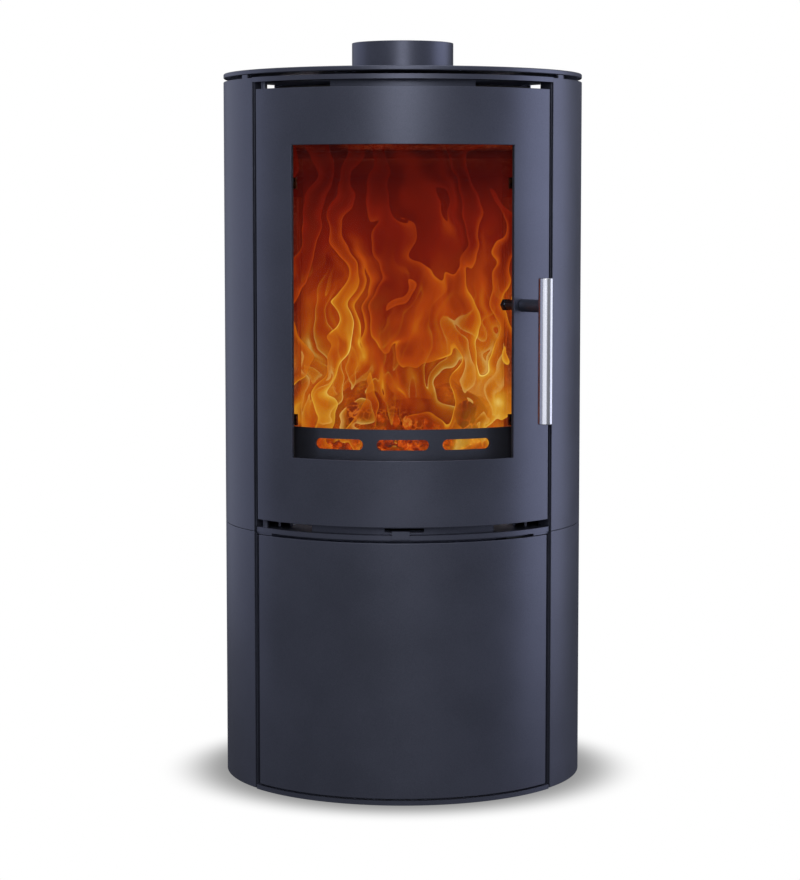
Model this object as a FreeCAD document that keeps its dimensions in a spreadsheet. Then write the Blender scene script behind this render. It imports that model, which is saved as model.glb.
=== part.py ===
import FreeCAD, Part
import os
import re

import Sketcher

# Round steel wood burning stove standing on a cupboard base.
# Frame: +Z up, the front (door side) faces -Y, +X is the right hand side seen from the front.
# Origin: centre of the base's underside, on the floor.  Units: millimetres and degrees.
# Directions round the body are angles from the front, positive towards +X.

doc = FreeCAD.newDocument("wood_burning_stove")
sheet = doc.addObject("Spreadsheet::Sheet", "Sizes")

SIZES = (
    # Whole body
    ("body_radius", 235, "outside of side panels, doors and top plate"),
    ("stove_height", 921, "upper face of the top plate"),
    ("base_height", 335, "cupboard base, floor to the seam under the stove body"),
    ("plate", 6, "heavy plates: top, rail and floors"),
    ("panel_sheet", 3, "side panels and base lid"),
    ("rear_sheet", 2, "rear panels and heat shield"),
    ("box_plate", 5, "welded firebox plates"),
    ("skin", 4, "curved door skins"),
    ("fit_gap", 0.3, "clearance between parts that are put together"),
    # Openings and panels round the body
    ("door_angle", 52, "half angle of the stove door"),
    ("base_door_angle", 51.5, "half angle of the base door"),
    ("panel_angle", 54, "front edge of the side panels"),
    ("panel_rear_angle", 124, "rear edge of the side panels"),
    ("rear_lap_angle", 6, "overlap of rear and side panels"),
    ("flange_depth", 17, "folded front edge of the side panels"),
    ("panel_top_gap", 4.5, "air gap between side panels and top plate"),
    ("rear_vent_drop", 20, "air gap over the ends of the rear panel"),
    ("rear_lip_angle", 49.5, "half the width of the rear panel's raised middle"),
    ("seam_gap", 0.3, "seam between upper and base side panels"),
    ("front_tab_angle", 58.6, "middle of the front top plate tab"),
    ("rear_tab_angle", 117.2, "middle of the rear top plate tab"),
    ("tab_width", 3.4, "tab width as an angle"),
    ("panel_foot", 1, "base side panels clear of the floor"),
    ("front_setback", 2.5, "body floor edge behind the panel face"),
    ("base_setback", 0.5, "base floor edge behind the panel face"),
    ("lip_margin", 0.5, "floor edge short of the side panels, as an angle"),
    # Rail over the door
    ("rail_drop", 4, "gap between top plate and rail"),
    ("rail_depth", 26, "rail, front to back"),
    ("rail_tab_angle", 24.5, "half angle of the tab that carries the rail"),
    # Stove door
    ("door_top_gap", 9, "gap between door and rail"),
    ("door_bottom_gap", 10, "gap between body floor and door"),
    ("window_margin", 83.5, "door edge to window, below"),
    ("window_head", 71, "window to door edge, above"),
    ("window_angle", 36.3, "half angle of the window"),
    ("gasket", 2, "flat glass gasket"),
    ("gasket_step", 1.2, "gasket edge outside the window"),
    ("glass_sheet", 4, "ceramic glass"),
    ("glass_lap", 12, "glass over the window edge, above and below"),
    ("glass_angle", 38, "half angle of the glass"),
    ("frame_bar", 8, "radial depth of the inner door frame"),
    ("frame_angle", 48, "half angle of the inner door frame"),
    ("frame_inner_angle", 41.6, "half angle of its opening"),
    ("frame_edge", 3.5, "inner frame inside the skin's top and bottom"),
    ("frame_foot_width", 59.5, "height of its bottom member"),
    ("frame_head_width", 47.5, "height of its top member"),
    ("rope_angle", 45.6, "middle of the rope seal"),
    ("rope_inset", 8, "middle of the rope inside the frame's edge"),
    ("rope_size", 10, "rope seal width"),
    ("rope_groove", 4.5, "depth of the rope groove"),
    ("clip_sheet", 1.5, "glass clips"),
    ("clip_height", 14, "glass clip width"),
    ("clip_inset", 47, "middle of the glass clips from the window's ends"),
    ("clip_grip", 1.4, "glass clip behind the glass, as an angle"),
    ("clip_reach", 2, "glass clip on the inner frame, as an angle"),
    ("clip_screw", 2.5, "radius of the clip screws"),
    ("clip_screw_length", 5, "clip screws in the inner frame"),
    ("clip_head", 5, "radius of the clip screws' heads"),
    ("clip_head_height", 2.5, "clip screws' heads"),
    # Door hinges, left side
    ("hinge_angle", 50.67, "hinge line round the body"),
    ("hinge_inset", 9.4, "hinge line behind the panel face"),
    ("pin_radius", 4, "hinge pins"),
    ("pin_gap", 0.05, "running clearance of the hinge pins"),
    ("barrel_wall", 2.5, "hinge blocks round the pin"),
    ("hinge_foot", 5.5, "half width of the hinge blocks' feet"),
    ("block_height", 25, "hinge blocks"),
    ("block_edge", 3, "stove door hinge blocks inside the skin's edges"),
    ("pin_hold", 21, "pin inside its hinge block"),
    # Handle and latch, right side
    ("spindle_angle", 39.8, "handle spindle round the body"),
    ("spindle_drop", 270.6, "handle spindle below the door's top"),
    ("spindle_radius", 4.5, "spindle inside the door"),
    ("stalk_radius", 8, "stalk between door and bar"),
    ("bush_radius", 6.3, "spindle bush"),
    ("bush_gap", 0.05, "running clearance of the spindle"),
    ("bush_back", 7, "bush behind the skin"),
    ("bush_lip", 0.6, "bush in front of the skin"),
    ("bar_standoff", 42, "middle of the handle bar in front of the panel face"),
    ("bar_radius", 9.25, "handle bar"),
    ("bar_above", 35, "bar above the spindle"),
    ("bar_below", 147, "bar below the spindle"),
    ("bar_chamfer", 0.8, "edge of the bar's ends"),
    ("tongue_sheet", 4, "latch tongue"),
    ("tongue_width", 12, "latch tongue"),
    ("tongue_reach", 17, "latch tongue from the spindle"),
    ("tongue_gap", 1.5, "tongue behind the front frame"),
    ("nut_height", 5, "latch nut"),
    ("nut_radius", 8, "latch nut, across corners"),
    ("spindle_end", 3, "spindle beyond the nut"),
    # Front frame of the firebox
    ("frame_setback", 18, "front frame's face behind the panel face"),
    ("land_angle", 49, "half angle of the front frame"),
    ("mouth_angle", 43, "half angle of the firebox mouth"),
    ("mouth_sill", 17, "front frame below the mouth"),
    ("mouth_head", 15, "front frame above the mouth"),
    ("frame_drop", 3, "front frame below the door's top"),
    # Firebox
    ("roof_drop", 6, "firebox roof below the rail"),
    ("firebox_rear_gap", 85, "firebox back to the body's outside"),
    ("firebox_bend", 20, "outside radius of the rear corners"),
    ("ash_floor_lift", 28, "ash floor's upper face above the body floor"),
    ("hearth_lift", 70, "hearth's upper face above the body floor"),
    ("brick", 20, "vermiculite bricks"),
    ("brick_setback", 14, "side bricks behind the firebox walls' front ends"),
    ("brick_top_gap", 22, "bricks to the baffle's rear edge"),
    ("brick_gap", 0.5, "between bricks"),
    ("baffle_sheet", 25, "vermiculite baffle"),
    ("baffle_length", 185, "baffle, front to back"),
    ("baffle_tilt", 15, "baffle slope"),
    ("baffle_drop", 111, "baffle's rear edge below the firebox roof"),
    ("baffle_rear_gap", 23, "baffle's rear edge to the firebox back"),
    ("baffle_margin", 4, "baffle clear of each wall"),
    ("bar_stock", 5, "radius of the baffle bars"),
    ("rear_bar", 22, "rear baffle bar from the baffle's rear edge"),
    ("front_bar", 37, "front baffle bar from the baffle's front edge"),
    ("grate_side_gap", 25, "grate to the side bricks"),
    ("grate_rear_gap", 15, "grate to the rear brick"),
    ("grate_front_gap", 35, "grate's front edge behind the bricks' front ends"),
    ("grate_lip", 10, "grate's lip on the hearth plate"),
    ("grate_flange", 4, "thickness of the grate's lip"),
    ("grate_depth", 12, "grate below its lip"),
    ("grate_slot", 8, "grate slots"),
    ("grate_slots", 9, "number of grate slots"),
    ("grate_end", 12, "solid ends of the grate slots"),
    # Log guard
    ("guard_setback", 30, "log guard behind the panel face"),
    ("guard_sheet", 3, "log guard"),
    ("guard_angle", 43, "half angle of the log guard"),
    ("guard_height", 59.7, "log guard above the hearth"),
    ("slot_length", 66, "guard slots"),
    ("slot_height", 13.4, "guard slots"),
    ("slot_lift", 40.4, "middle of the slots above the hearth"),
    ("slot_bridge", 17.4, "between slots"),
    # Ash pan
    ("pan_side_gap", 50, "ash pan to the firebox walls"),
    ("pan_front_gap", 12, "ash pan's front corners to the front frame"),
    ("pan_rear_gap", 35, "ash pan to the firebox back"),
    ("pan_top_gap", 6.7, "ash pan to the hearth plate"),
    ("pan_sheet", 1.5, "ash pan"),
    # Air wash plate behind the top of the glass
    ("airwash_setback", 27, "air wash plate's face behind the panel face"),
    ("airwash_angle", 38, "half angle of the air wash plate"),
    ("airwash_height", 58, "air wash plate below the roof"),
    ("airwash_sheet", 2, "air wash plate"),
    # Air box and slider under the firebox
    ("air_box_angle", 31.5, "half angle of the air box"),
    ("air_box_sheet", 5, "air box walls"),
    ("air_box_depth", 92, "air box, front frame to its back"),
    ("air_hole_depth", 20, "air hole in the ash floor, front to back"),
    ("air_box_step", 2, "air box front in front of the front frame"),
    ("air_front_height", 11, "air box front above the body floor"),
    ("air_slot_left", 22.7, "slider slot left of the centre"),
    ("air_slot_right", 26.7, "slider slot right of the centre"),
    ("air_slot_lift", 2.4, "slider slot above the body floor"),
    ("air_slot_height", 5, "slider slot"),
    ("tab_left", 13.6, "slider tab left of the centre"),
    ("tab_across", 22, "slider tab"),
    ("tab_drop", 10, "slider tab, top to bottom"),
    ("tab_top_lift", 5.4, "top of the slider tab above the body floor"),
    ("slider_sheet", 2, "air slider"),
    ("slider_half", 60, "half length of the slider plate"),
    ("slider_setback", 17, "slider plate behind the front frame"),
    ("slider_depth", 60, "slider plate, front to back"),
    ("riser_setback", 3, "slider's riser behind the front frame"),
    ("port_radius", 12, "air ports"),
    ("port_pitch", 42, "between air ports"),
    ("port_setback", 47, "air ports behind the front frame"),
    ("port_shift", 14.4, "slider travel to fully open ports"),
    # Supports under the firebox
    ("support_inset", 1, "support channel inside the firebox wall"),
    ("support_width", 18, "support channel"),
    ("support_setback", 3, "support channel behind the firebox walls' front ends"),
    ("support_rear_gap", 20, "support channel's rear end to the firebox back"),
    ("shield_gap", 45, "heat shield to the body's outside"),
    ("shield_side_gap", 11.6, "heat shield's edges to the rear panel"),
    ("shield_foot", 20, "heat shield above the body floor"),
    ("shield_head", 12, "heat shield below the firebox roof"),
    ("shield_leg", 9, "half width of the heat shield's feet"),
    # Flue spigot
    ("flue_bore", 62.5, "radius of the flue bore"),
    ("flue_wall", 4, "spigot wall"),
    ("flue_rise", 41, "spigot above the top plate"),
    ("flue_flange", 90, "radius of the spigot's flange"),
    ("flue_bolts", 78, "radius of the bolt circle"),
    ("flue_clear", 1.5, "top plate hole round the spigot"),
    ("plate_edge", 1.5, "rounded edge of the top plate"),
    ("bolts", 4, "number of flange bolts"),
    ("bolt_radius", 4, "flange bolts"),
    ("bolt_head", 5.3, "flange bolt heads"),
    ("bolt_across", 7.5, "flange bolt heads, across corners, radius"),
    ("bolt_clear", 0.4, "flange holes round the bolts"),
    # Rear panels
    ("vent_width", 3, "rear vents as an angle"),
    ("vent_pitch", 7, "angle between rear vents"),
    ("vents", 9, "number of rear vents in a row"),
    ("vent_height", 70, "rear vents"),
    ("vent_margin", 35, "rear vents from the panel's edges"),
    ("screw_angle", 121, "panel screws round the body"),
    ("screw_radius", 2.5, "panel screws"),
    ("screw_head", 4.6, "panel screw heads, radius"),
    ("screw_head_height", 2.2, "panel screw heads"),
    ("screw_margin", 45, "end panel screws from the panel's edges"),
    ("upper_screws", 4, "panel screws down each side of the upper rear panel"),
    ("base_screws", 3, "panel screws down each side of the base's rear panel"),
    # Base
    ("base_door_foot", 8.3, "base door above the floor"),
    ("base_door_gap", 3.5, "gap over the base door"),
    ("lid_setback", 13, "base lid's front edge behind the panel face"),
    ("lid_ear_angle", 46, "where the base lid's ears begin"),
    ("base_frame_bar", 5, "radial depth of the base door's inner frame"),
    ("base_frame_angle", 48, "its half angle"),
    ("base_frame_inner", 41, "half angle of its opening"),
    ("base_frame_edge", 5.5, "inner frame inside the skin's top and bottom"),
    ("base_frame_width", 28, "height of its top and bottom members"),
    ("base_block_edge", 4.5, "base door hinge blocks inside the skin's edges"),
    ("magnet_angle", 40, "magnetic catch round the body"),
    ("magnet_half", 15, "half width of the magnetic catch"),
    ("magnet_height", 16, "magnetic catch"),
    ("magnet_depth", 20, "magnetic catch"),
    ("striker_sheet", 3, "striker plate"),
    ("striker_gap", 0.6, "magnetic catch to striker"),
)

for row, (alias, number, meaning) in enumerate(SIZES, start=1):
    sheet.set(f"A{row}", alias)
    sheet.set(f"B{row}", str(number))
    sheet.set(f"C{row}", meaning)
    sheet.setAlias(f"B{row}", alias)
doc.recompute()

ALIASES = {alias for alias, number, meaning in SIZES}

# Levels and radii worked out from the driving sizes.
PLATE_UNDER = "(stove_height - plate)"
PANEL_TOP = f"({PLATE_UNDER} - panel_top_gap)"
RAIL_TOP = f"({PLATE_UNDER} - rail_drop)"
RAIL_UNDER = f"({RAIL_TOP} - plate)"
FLOOR_TOP = "(base_height + plate)"
DOOR_TOP = f"({RAIL_UNDER} - door_top_gap)"
DOOR_FOOT = f"({FLOOR_TOP} + door_bottom_gap)"
WINDOW_FOOT = f"({DOOR_FOOT} + window_margin)"
WINDOW_TOP = f"({DOOR_TOP} - window_head)"
LAND_FOOT = f"({FLOOR_TOP} + air_front_height)"
LAND_TOP = f"({DOOR_TOP} - frame_drop)"
MOUTH_FOOT = f"({LAND_FOOT} + mouth_sill)"
MOUTH_TOP = f"({LAND_TOP} - mouth_head)"
ROOF_TOP = f"({RAIL_UNDER} - roof_drop)"
ROOF_UNDER = f"({ROOF_TOP} - box_plate)"
ASH_TOP = f"({FLOOR_TOP} + ash_floor_lift)"
ASH_UNDER = f"({ASH_TOP} - box_plate)"
HEARTH_TOP = f"({FLOOR_TOP} + hearth_lift)"
BASE_LID_UNDER = "(base_height - panel_sheet)"
BASE_DOOR_TOP = "(base_height - base_door_gap)"
PANEL_IN = "(body_radius - panel_sheet)"
SKIN_IN = "(body_radius - skin)"
LAND_OUT = "(body_radius - frame_setback)"
LAND_IN = f"({LAND_OUT} - box_plate)"
GLASS_OUT = f"({SKIN_IN} - gasket)"
GLASS_IN = f"({GLASS_OUT} - glass_sheet)"
FRAME_IN = f"({SKIN_IN} - frame_bar)"
FRAME_TOP = f"({DOOR_TOP} - frame_edge)"
FRAME_FOOT = f"({DOOR_FOOT} + frame_edge)"
ROPE_TOP = f"({FRAME_TOP} - rope_inset)"
ROPE_FOOT = f"({FRAME_FOOT} + rope_inset)"
ROPE_HALF = f"(rope_size / 2 / {FRAME_IN} * 180 / pi)"
BOX_HALF = f"({LAND_IN} * sin(land_angle))"
BOX_FRONT = f"({LAND_IN} * cos(land_angle))"
BOX_REAR = "(body_radius - firebox_rear_gap)"
BOX_IN = f"({BOX_HALF} - box_plate)"
BOX_BACK = f"({BOX_REAR} - box_plate)"
BRICK_FRONT = f"({BOX_FRONT} - brick_setback)"
BAFFLE_FOOT = f"({ROOF_UNDER} - baffle_drop)"
BAFFLE_REAR = f"({BOX_BACK} - baffle_rear_gap)"
BRICK_TOP = f"({BAFFLE_FOOT} - brick_top_gap)"
GRATE_HALF = f"({BOX_IN} - brick - grate_side_gap)"
GRATE_REAR = f"({BOX_BACK} - brick - grate_rear_gap)"
GRATE_FRONT = f"({BRICK_FRONT} - grate_front_gap)"
GUARD_OUT = "(body_radius - guard_setback)"
AIR_BOX_BACK = f"({LAND_IN} - air_box_depth)"
SUPPORT_OUT = f"({BOX_HALF} - support_inset)"
SUPPORT_IN = f"({SUPPORT_OUT} - support_width)"
SHIELD_REAR = "(body_radius - shield_gap)"
SHIELD_HALF = f"(sqrt(({PANEL_IN} - rear_sheet)^2 - {SHIELD_REAR}^2) - shield_side_gap)"
HINGE_RADIUS = "(body_radius - hinge_inset)"
BARREL = "(pin_radius + barrel_wall)"
SPINDLE_LEVEL = f"({DOOR_TOP} - spindle_drop)"
BAR_LINE = "(body_radius + bar_standoff)"
CLIP_SCREW_ANGLE = "(frame_inner_angle + clip_reach / 2)"
FLUE_OUT = "(flue_bore + flue_wall)"
TONGUE_OUT = f"({LAND_IN} - tongue_gap)"
TONGUE_IN = f"({TONGUE_OUT} - tongue_sheet)"
NUT_IN = f"({TONGUE_IN} - nut_height)"
BUSH_IN = f"({SKIN_IN} - bush_back)"
BUSH_OUT = "(body_radius + bush_lip)"
STRIKER_IN = f"({SKIN_IN} - base_frame_bar - striker_sheet)"
OVERCUT = "1"
UPRIGHT = 0.99

nodes = {}


def full(expression):
    """The expression with each size's name led by the sheet's."""
    return re.sub(r"[a-z_]+", lambda word: sheet.Name + "." + word.group(0)
                  if word.group(0) in ALIASES else word.group(0), str(expression))


def value(expression):
    return float(sheet.evalExpression(full(expression)))


def bind(thing, path, expression):
    thing.setExpression(path, full(expression))


def node(name, thing):
    """Marks a finished piece, which is written to its own file."""
    thing.Label = name
    nodes[name] = thing
    return thing


def minus(expression):
    return f"-({expression})"


# Part primitives ----------------------------------------------------------------------------

def half_turn(angle):
    """The same direction as an angle between -180 and 180, which a placement needs."""
    return f"mod({angle} + 540; 360) - 180"


def move(thing, x="0", y="0", z="0", turn=None, roll=0):
    """Places a piece; turn is its angle round Z, roll tips its own Z towards -Y."""
    start = 0 if turn is None else value(half_turn(turn))
    thing.Placement = FreeCAD.Placement(FreeCAD.Vector(), FreeCAD.Rotation(start, 0, roll))
    for axis, place in zip("xyz", (x, y, z)):
        bind(thing, f"Placement.Base.{axis}", place)
    if turn is not None:
        bind(thing, "Placement.Rotation.Yaw", half_turn(turn))
    return thing


def block(low, high, name="block"):
    """A box between two corners."""
    box = doc.addObject("Part::Box", name)
    for side, first, last in zip(("Length", "Width", "Height"), low, high):
        bind(box, side, f"({last}) - ({first})")
    return move(box, *low)


def rod(radius, low, high, x="0", y="0", name="rod"):
    """An upright cylinder."""
    cylinder = doc.addObject("Part::Cylinder", name)
    bind(cylinder, "Radius", radius)
    bind(cylinder, "Height", f"({high}) - ({low})")
    return move(cylinder, x, y, low)


def radial_rod(radius, inner, outer, angle, height, name="radial_rod"):
    """A cylinder that points outwards from the body's axis."""
    cylinder = doc.addObject("Part::Cylinder", name)
    bind(cylinder, "Radius", radius)
    bind(cylinder, "Height", f"({outer}) - ({inner})")
    return move(cylinder, f"({inner}) * sin({angle})", minus(f"({inner}) * cos({angle})"),
                height, turn=angle, roll=90)


def hexagon(across, low, high, name="hexagon"):
    prism = doc.addObject("Part::Prism", name)
    prism.Polygon = 6
    bind(prism, "Circumradius", across)
    bind(prism, "Height", f"({high}) - ({low})")
    return prism


def joined(kind, name, shapes):
    result = doc.addObject(kind, name)
    result.Shapes = shapes
    return result


def fuse(shapes, name="fuse"):
    return joined("Part::MultiFuse", name, shapes)


def common(shapes, name="common"):
    return joined("Part::MultiCommon", name, shapes)


def cut(base, tools, name="cut"):
    result = doc.addObject("Part::Cut", name)
    result.Base = base
    result.Tool = tools[0] if len(tools) == 1 else fuse(tools)
    return result


def group(shapes, name="group"):
    """Separate solids that share one node."""
    result = doc.addObject("Part::Compound", name)
    result.Links = shapes
    return result


def sector(inner, outer, low, high, start, stop, name="sector"):
    """A curved plate round the body's axis, from one angle to another."""
    outside = doc.addObject("Part::Cylinder", "outside")
    bind(outside, "Radius", outer)
    bind(outside, "Height", f"({high}) - ({low})")
    bind(outside, "Angle", f"({stop}) - ({start})")
    move(outside, z=low, turn=f"({start}) - 90")
    inside = rod(inner, f"({low}) - {OVERCUT}", f"({high}) + {OVERCUT}")
    return cut(outside, [inside], name)


# PartDesign bodies --------------------------------------------------------------------------

def new_body(name="piece"):
    return doc.addObject("PartDesign::Body", name)


def plane(body, role):
    return next(feature for feature in body.Origin.OriginFeatures if feature.Role == role)


def sketch_on(body, role, name, level="0"):
    sketch = body.newObject("Sketcher::SketchObject", name)
    sketch.AttachmentSupport = [(plane(body, role), "")]
    sketch.MapMode = "FlatFace"
    bind(sketch, "AttachmentOffset.Base.z", level)
    return sketch


def pin_point(sketch, edge, point, x, y):
    """Holds a sketch point at two distances from the sketch's origin."""
    for kind, place in (("DistanceX", x), ("DistanceY", y)):
        index = sketch.addConstraint(Sketcher.Constraint(kind, -1, 1, edge, point, value(place)))
        label = f"{kind}_{edge}"
        sketch.renameConstraint(index, label)
        bind(sketch, f"Constraints.{label}", place)


def outline(sketch, corners):
    """A closed outline of straight lines."""
    first = sketch.GeometryCount
    points = [FreeCAD.Vector(value(x), value(y), 0) for x, y in corners]
    for start, end in zip(points, points[1:] + points[:1]):
        sketch.addGeometry(Part.LineSegment(start, end), False)
    count = len(points)
    for index in range(count):
        following = first + (index + 1) % count
        sketch.addConstraint(Sketcher.Constraint("Coincident", first + index, 2, following, 1))
    for index, (x, y) in enumerate(corners):
        pin_point(sketch, first + index, 1, x, y)


def circle(sketch, x, y, radius):
    edge = sketch.addGeometry(
        Part.Circle(FreeCAD.Vector(value(x), value(y), 0), FreeCAD.Vector(0, 0, 1), value(radius)), False)
    index = sketch.addConstraint(Sketcher.Constraint("Radius", edge, value(radius)))
    sketch.renameConstraint(index, f"Radius_{edge}")
    bind(sketch, f"Constraints.Radius_{edge}", radius)
    pin_point(sketch, edge, 3, x, y)


def add_pad(body, sketch, length, kind="PartDesign::Pad"):
    feature = body.newObject(kind, "Pad")
    feature.Profile = sketch
    bind(feature, "Length", length)
    return feature


def add_pocket(body, sketch, length):
    """A pocket upwards from its sketch."""
    feature = add_pad(body, sketch, length, "PartDesign::Pocket")
    feature.Reversed = True
    return feature


def spin(body, corners, half_angle, kind="PartDesign::Revolution"):
    """Turns a profile of (radius, height) corners evenly to both sides of the front."""
    sketch = sketch_on(body, "YZ_Plane", "profile")
    outline(sketch, [(minus(radius), height) for radius, height in corners])
    feature = body.newObject(kind, "Turned")
    feature.Profile = sketch
    feature.ReferenceAxis = (sketch, ["V_Axis"])
    feature.Midplane = True
    bind(feature, "Angle", f"2 * ({half_angle})")
    return feature


def oblong(inner, outer, low, high):
    return [(inner, low), (outer, low), (outer, high), (inner, high)]


def spin_cut(body, inner, outer, low, high, half_angle):
    """Removes a curved oblong, a little past the faces it goes through."""
    return spin(body, oblong(f"({inner}) - {OVERCUT}", f"({outer}) + {OVERCUT}", low, high),
                half_angle, "PartDesign::Groove")


def curved_plate(inner, outer, low, high, half_angle, name="piece"):
    """A curved plate centred on the front."""
    body = new_body(name)
    spin(body, oblong(inner, outer, low, high), half_angle)
    return body


def round_upright_edges(body, radius, chosen):
    """Rounds the upright edges for which chosen(x, y) holds."""
    doc.recompute()
    base = body.Tip
    names = []
    for index, edge in enumerate(base.Shape.Edges, start=1):
        middle = edge.valueAt((edge.FirstParameter + edge.LastParameter) / 2)
        upright = abs(edge.tangentAt(edge.FirstParameter).z) > UPRIGHT
        if upright and chosen(middle.x, middle.y):
            names.append(f"Edge{index}")
    fillet = body.newObject("PartDesign::Fillet", "Rounded")
    fillet.Base = (base, names)
    bind(fillet, "Radius", radius)
    return fillet


def repeat_round(body, features, count, angle):
    """Repeats features round the body's upright axis."""
    pattern = body.newObject("PartDesign::PolarPattern", "Repeated")
    pattern.Originals = features
    pattern.Axis = (plane(body, "Z_Axis"), [""])
    bind(pattern, "Occurrences", count)
    bind(pattern, "Angle", angle)
    body.Tip = pattern
    return pattern


# Flue spigot and top plate ------------------------------------------------------------------

def bolt_place(index):
    angle = f"(360 / bolts * ({index} + 1 / 2))"
    return f"flue_bolts * cos({angle})", f"flue_bolts * sin({angle})"


def bolt_holes(body, low, height, radius):
    """Holes on the flange's bolt circle."""
    sketch = sketch_on(body, "XY_Plane", "bolt_hole", low)
    circle(sketch, *bolt_place(0), radius)
    hole = add_pocket(body, sketch, height)
    repeat_round(body, [hole], "bolts", "360")


def make_top_plate():
    body = new_body()
    hole = f"{FLUE_OUT} + flue_clear"
    spin(body, [(hole, PLATE_UNDER),
                ("body_radius - plate_edge", PLATE_UNDER),
                ("body_radius", f"{PLATE_UNDER} + plate_edge"),
                ("body_radius", "stove_height - plate_edge"),
                ("body_radius - plate_edge", "stove_height"),
                (hole, "stove_height")], "180")
    node("top_plate", body)


def make_flue_spigot():
    body = new_body()
    flange_top = f"{ROOF_TOP} + box_plate"
    spin(body, [("flue_bore", ROOF_TOP),
                ("flue_flange", ROOF_TOP),
                ("flue_flange", flange_top),
                (FLUE_OUT, flange_top),
                (FLUE_OUT, "stove_height + flue_rise"),
                ("flue_bore", "stove_height + flue_rise")], "180")
    bolt_holes(body, ROOF_TOP, "box_plate", "bolt_radius + bolt_clear")
    node("flue_spigot", body)


def make_spigot_bolts():
    bolts = []
    head_under = f"{ROOF_TOP} + box_plate"
    for index in range(int(value("bolts"))):
        x, y = bolt_place(index)
        head = move(hexagon("bolt_across", "0", "bolt_head"), x, y, head_under)
        shank = rod("bolt_radius", ROOF_UNDER, head_under, x, y)
        bolts.append(fuse([head, shank]))
    node("spigot_bolts", group(bolts))


# Firebox ------------------------------------------------------------------------------------

def trim_to_front_frame(body, low, high):
    """Cuts a firebox piece back to the front frame's curved rear face."""
    spin(body, oblong(LAND_IN, "2 * body_radius", f"({low}) - {OVERCUT}", f"({high}) + {OVERCUT}"), "90",
         "PartDesign::Groove")


def firebox_plate(low, high, half_width, rear, bend):
    """A level plate with the firebox's outline."""
    body = new_body()
    sketch = sketch_on(body, "XY_Plane", "outline", low)
    outline(sketch, [(minus(half_width), minus(LAND_OUT)), (half_width, minus(LAND_OUT)),
                     (half_width, rear), (minus(half_width), rear)])
    add_pad(body, sketch, f"({high}) - ({low})")
    trim_to_front_frame(body, low, high)
    round_upright_edges(body, bend, lambda x, y: y > 0)
    return body


def make_firebox_wrap():
    body = new_body()
    sketch = sketch_on(body, "XY_Plane", "outline", ASH_TOP)
    wide, back = BOX_HALF, BOX_REAR
    front = minus(LAND_OUT)
    outline(sketch, [(minus(wide), front), (minus(BOX_IN), front), (minus(BOX_IN), BOX_BACK),
                     (BOX_IN, BOX_BACK), (BOX_IN, front), (wide, front), (wide, back), (minus(wide), back)])
    add_pad(body, sketch, f"{ROOF_UNDER} - {ASH_TOP}")
    trim_to_front_frame(body, ASH_TOP, ROOF_UNDER)
    middle = value(f"({BOX_REAR} + {BOX_BACK}) / 2")
    round_upright_edges(body, "firebox_bend", lambda x, y: y > middle)
    inner_back, inner_side = value(f"{BOX_BACK} - box_plate / 2"), value(f"{BOX_IN} - box_plate / 2")
    round_upright_edges(body, "firebox_bend - box_plate",
                        lambda x, y: inner_back < y < middle and abs(x) > inner_side)
    node("firebox_wrap", body)


def make_firebox_roof():
    body = firebox_plate(ROOF_UNDER, ROOF_TOP, BOX_HALF, BOX_REAR, "firebox_bend")
    sketch = sketch_on(body, "XY_Plane", "flue_hole", ROOF_UNDER)
    circle(sketch, "0", "0", "flue_bore")
    add_pocket(body, sketch, "box_plate")
    bolt_holes(body, ROOF_UNDER, "box_plate", "bolt_radius")
    node("firebox_roof", body)


def make_ash_floor():
    body = firebox_plate(ASH_UNDER, ASH_TOP, BOX_HALF, BOX_REAR, "firebox_bend")
    sketch = sketch_on(body, "XY_Plane", "air_hole", ASH_UNDER)
    rear = f"(-{AIR_BOX_BACK} - air_box_sheet)"
    front = f"({rear} - air_hole_depth)"
    outline(sketch, [("-port_pitch", front), ("port_pitch", front),
                     ("port_pitch", rear), ("-port_pitch", rear)])
    add_pocket(body, sketch, "box_plate")
    node("ash_floor", body)


def grate_outline(margin):
    """The grate's outline, drawn in from its edges."""
    half = f"({GRATE_HALF} - ({margin}))"
    front, rear = f"(-{GRATE_FRONT} + ({margin}))", f"({GRATE_REAR} - ({margin}))"
    return [(minus(half), front), (half, front), (half, rear), (minus(half), rear)]


def make_hearth_plate():
    low = f"{HEARTH_TOP} - box_plate"
    body = firebox_plate(low, HEARTH_TOP, BOX_IN, BOX_BACK, "firebox_bend")
    sketch = sketch_on(body, "XY_Plane", "grate_hole", low)
    outline(sketch, grate_outline("grate_lip - fit_gap"))
    add_pocket(body, sketch, "box_plate")
    node("hearth_plate", body)


def make_grate():
    body = new_body()
    under = f"({HEARTH_TOP} - grate_depth)"
    lip_top = f"({HEARTH_TOP} + grate_flange)"
    for margin, low, high in (("0", HEARTH_TOP, lip_top), ("grate_lip", under, HEARTH_TOP)):
        sketch = sketch_on(body, "XY_Plane", "outline", low)
        outline(sketch, grate_outline(margin))
        add_pad(body, sketch, f"({high}) - ({low})")
    sketch = sketch_on(body, "XY_Plane", "slot", f"{under} - {OVERCUT}")
    first = "-(grate_slots - 1) * grate_slot"
    left, right = f"{first} - grate_slot / 2", f"{first} + grate_slot / 2"
    front, rear = f"(-{GRATE_FRONT} + grate_lip + grate_end)", f"({GRATE_REAR} - grate_lip - grate_end)"
    outline(sketch, [(left, front), (right, front), (right, rear), (left, rear)])
    slot = add_pocket(body, sketch, f"grate_depth + grate_flange + 2 * {OVERCUT}")
    pattern = body.newObject("PartDesign::LinearPattern", "Slots")
    pattern.Originals = [slot]
    pattern.Direction = (plane(body, "X_Axis"), [""])
    bind(pattern, "Length", "2 * grate_slot * (grate_slots - 1)")
    bind(pattern, "Occurrences", "grate_slots")
    body.Tip = pattern
    node("grate", body)


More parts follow.
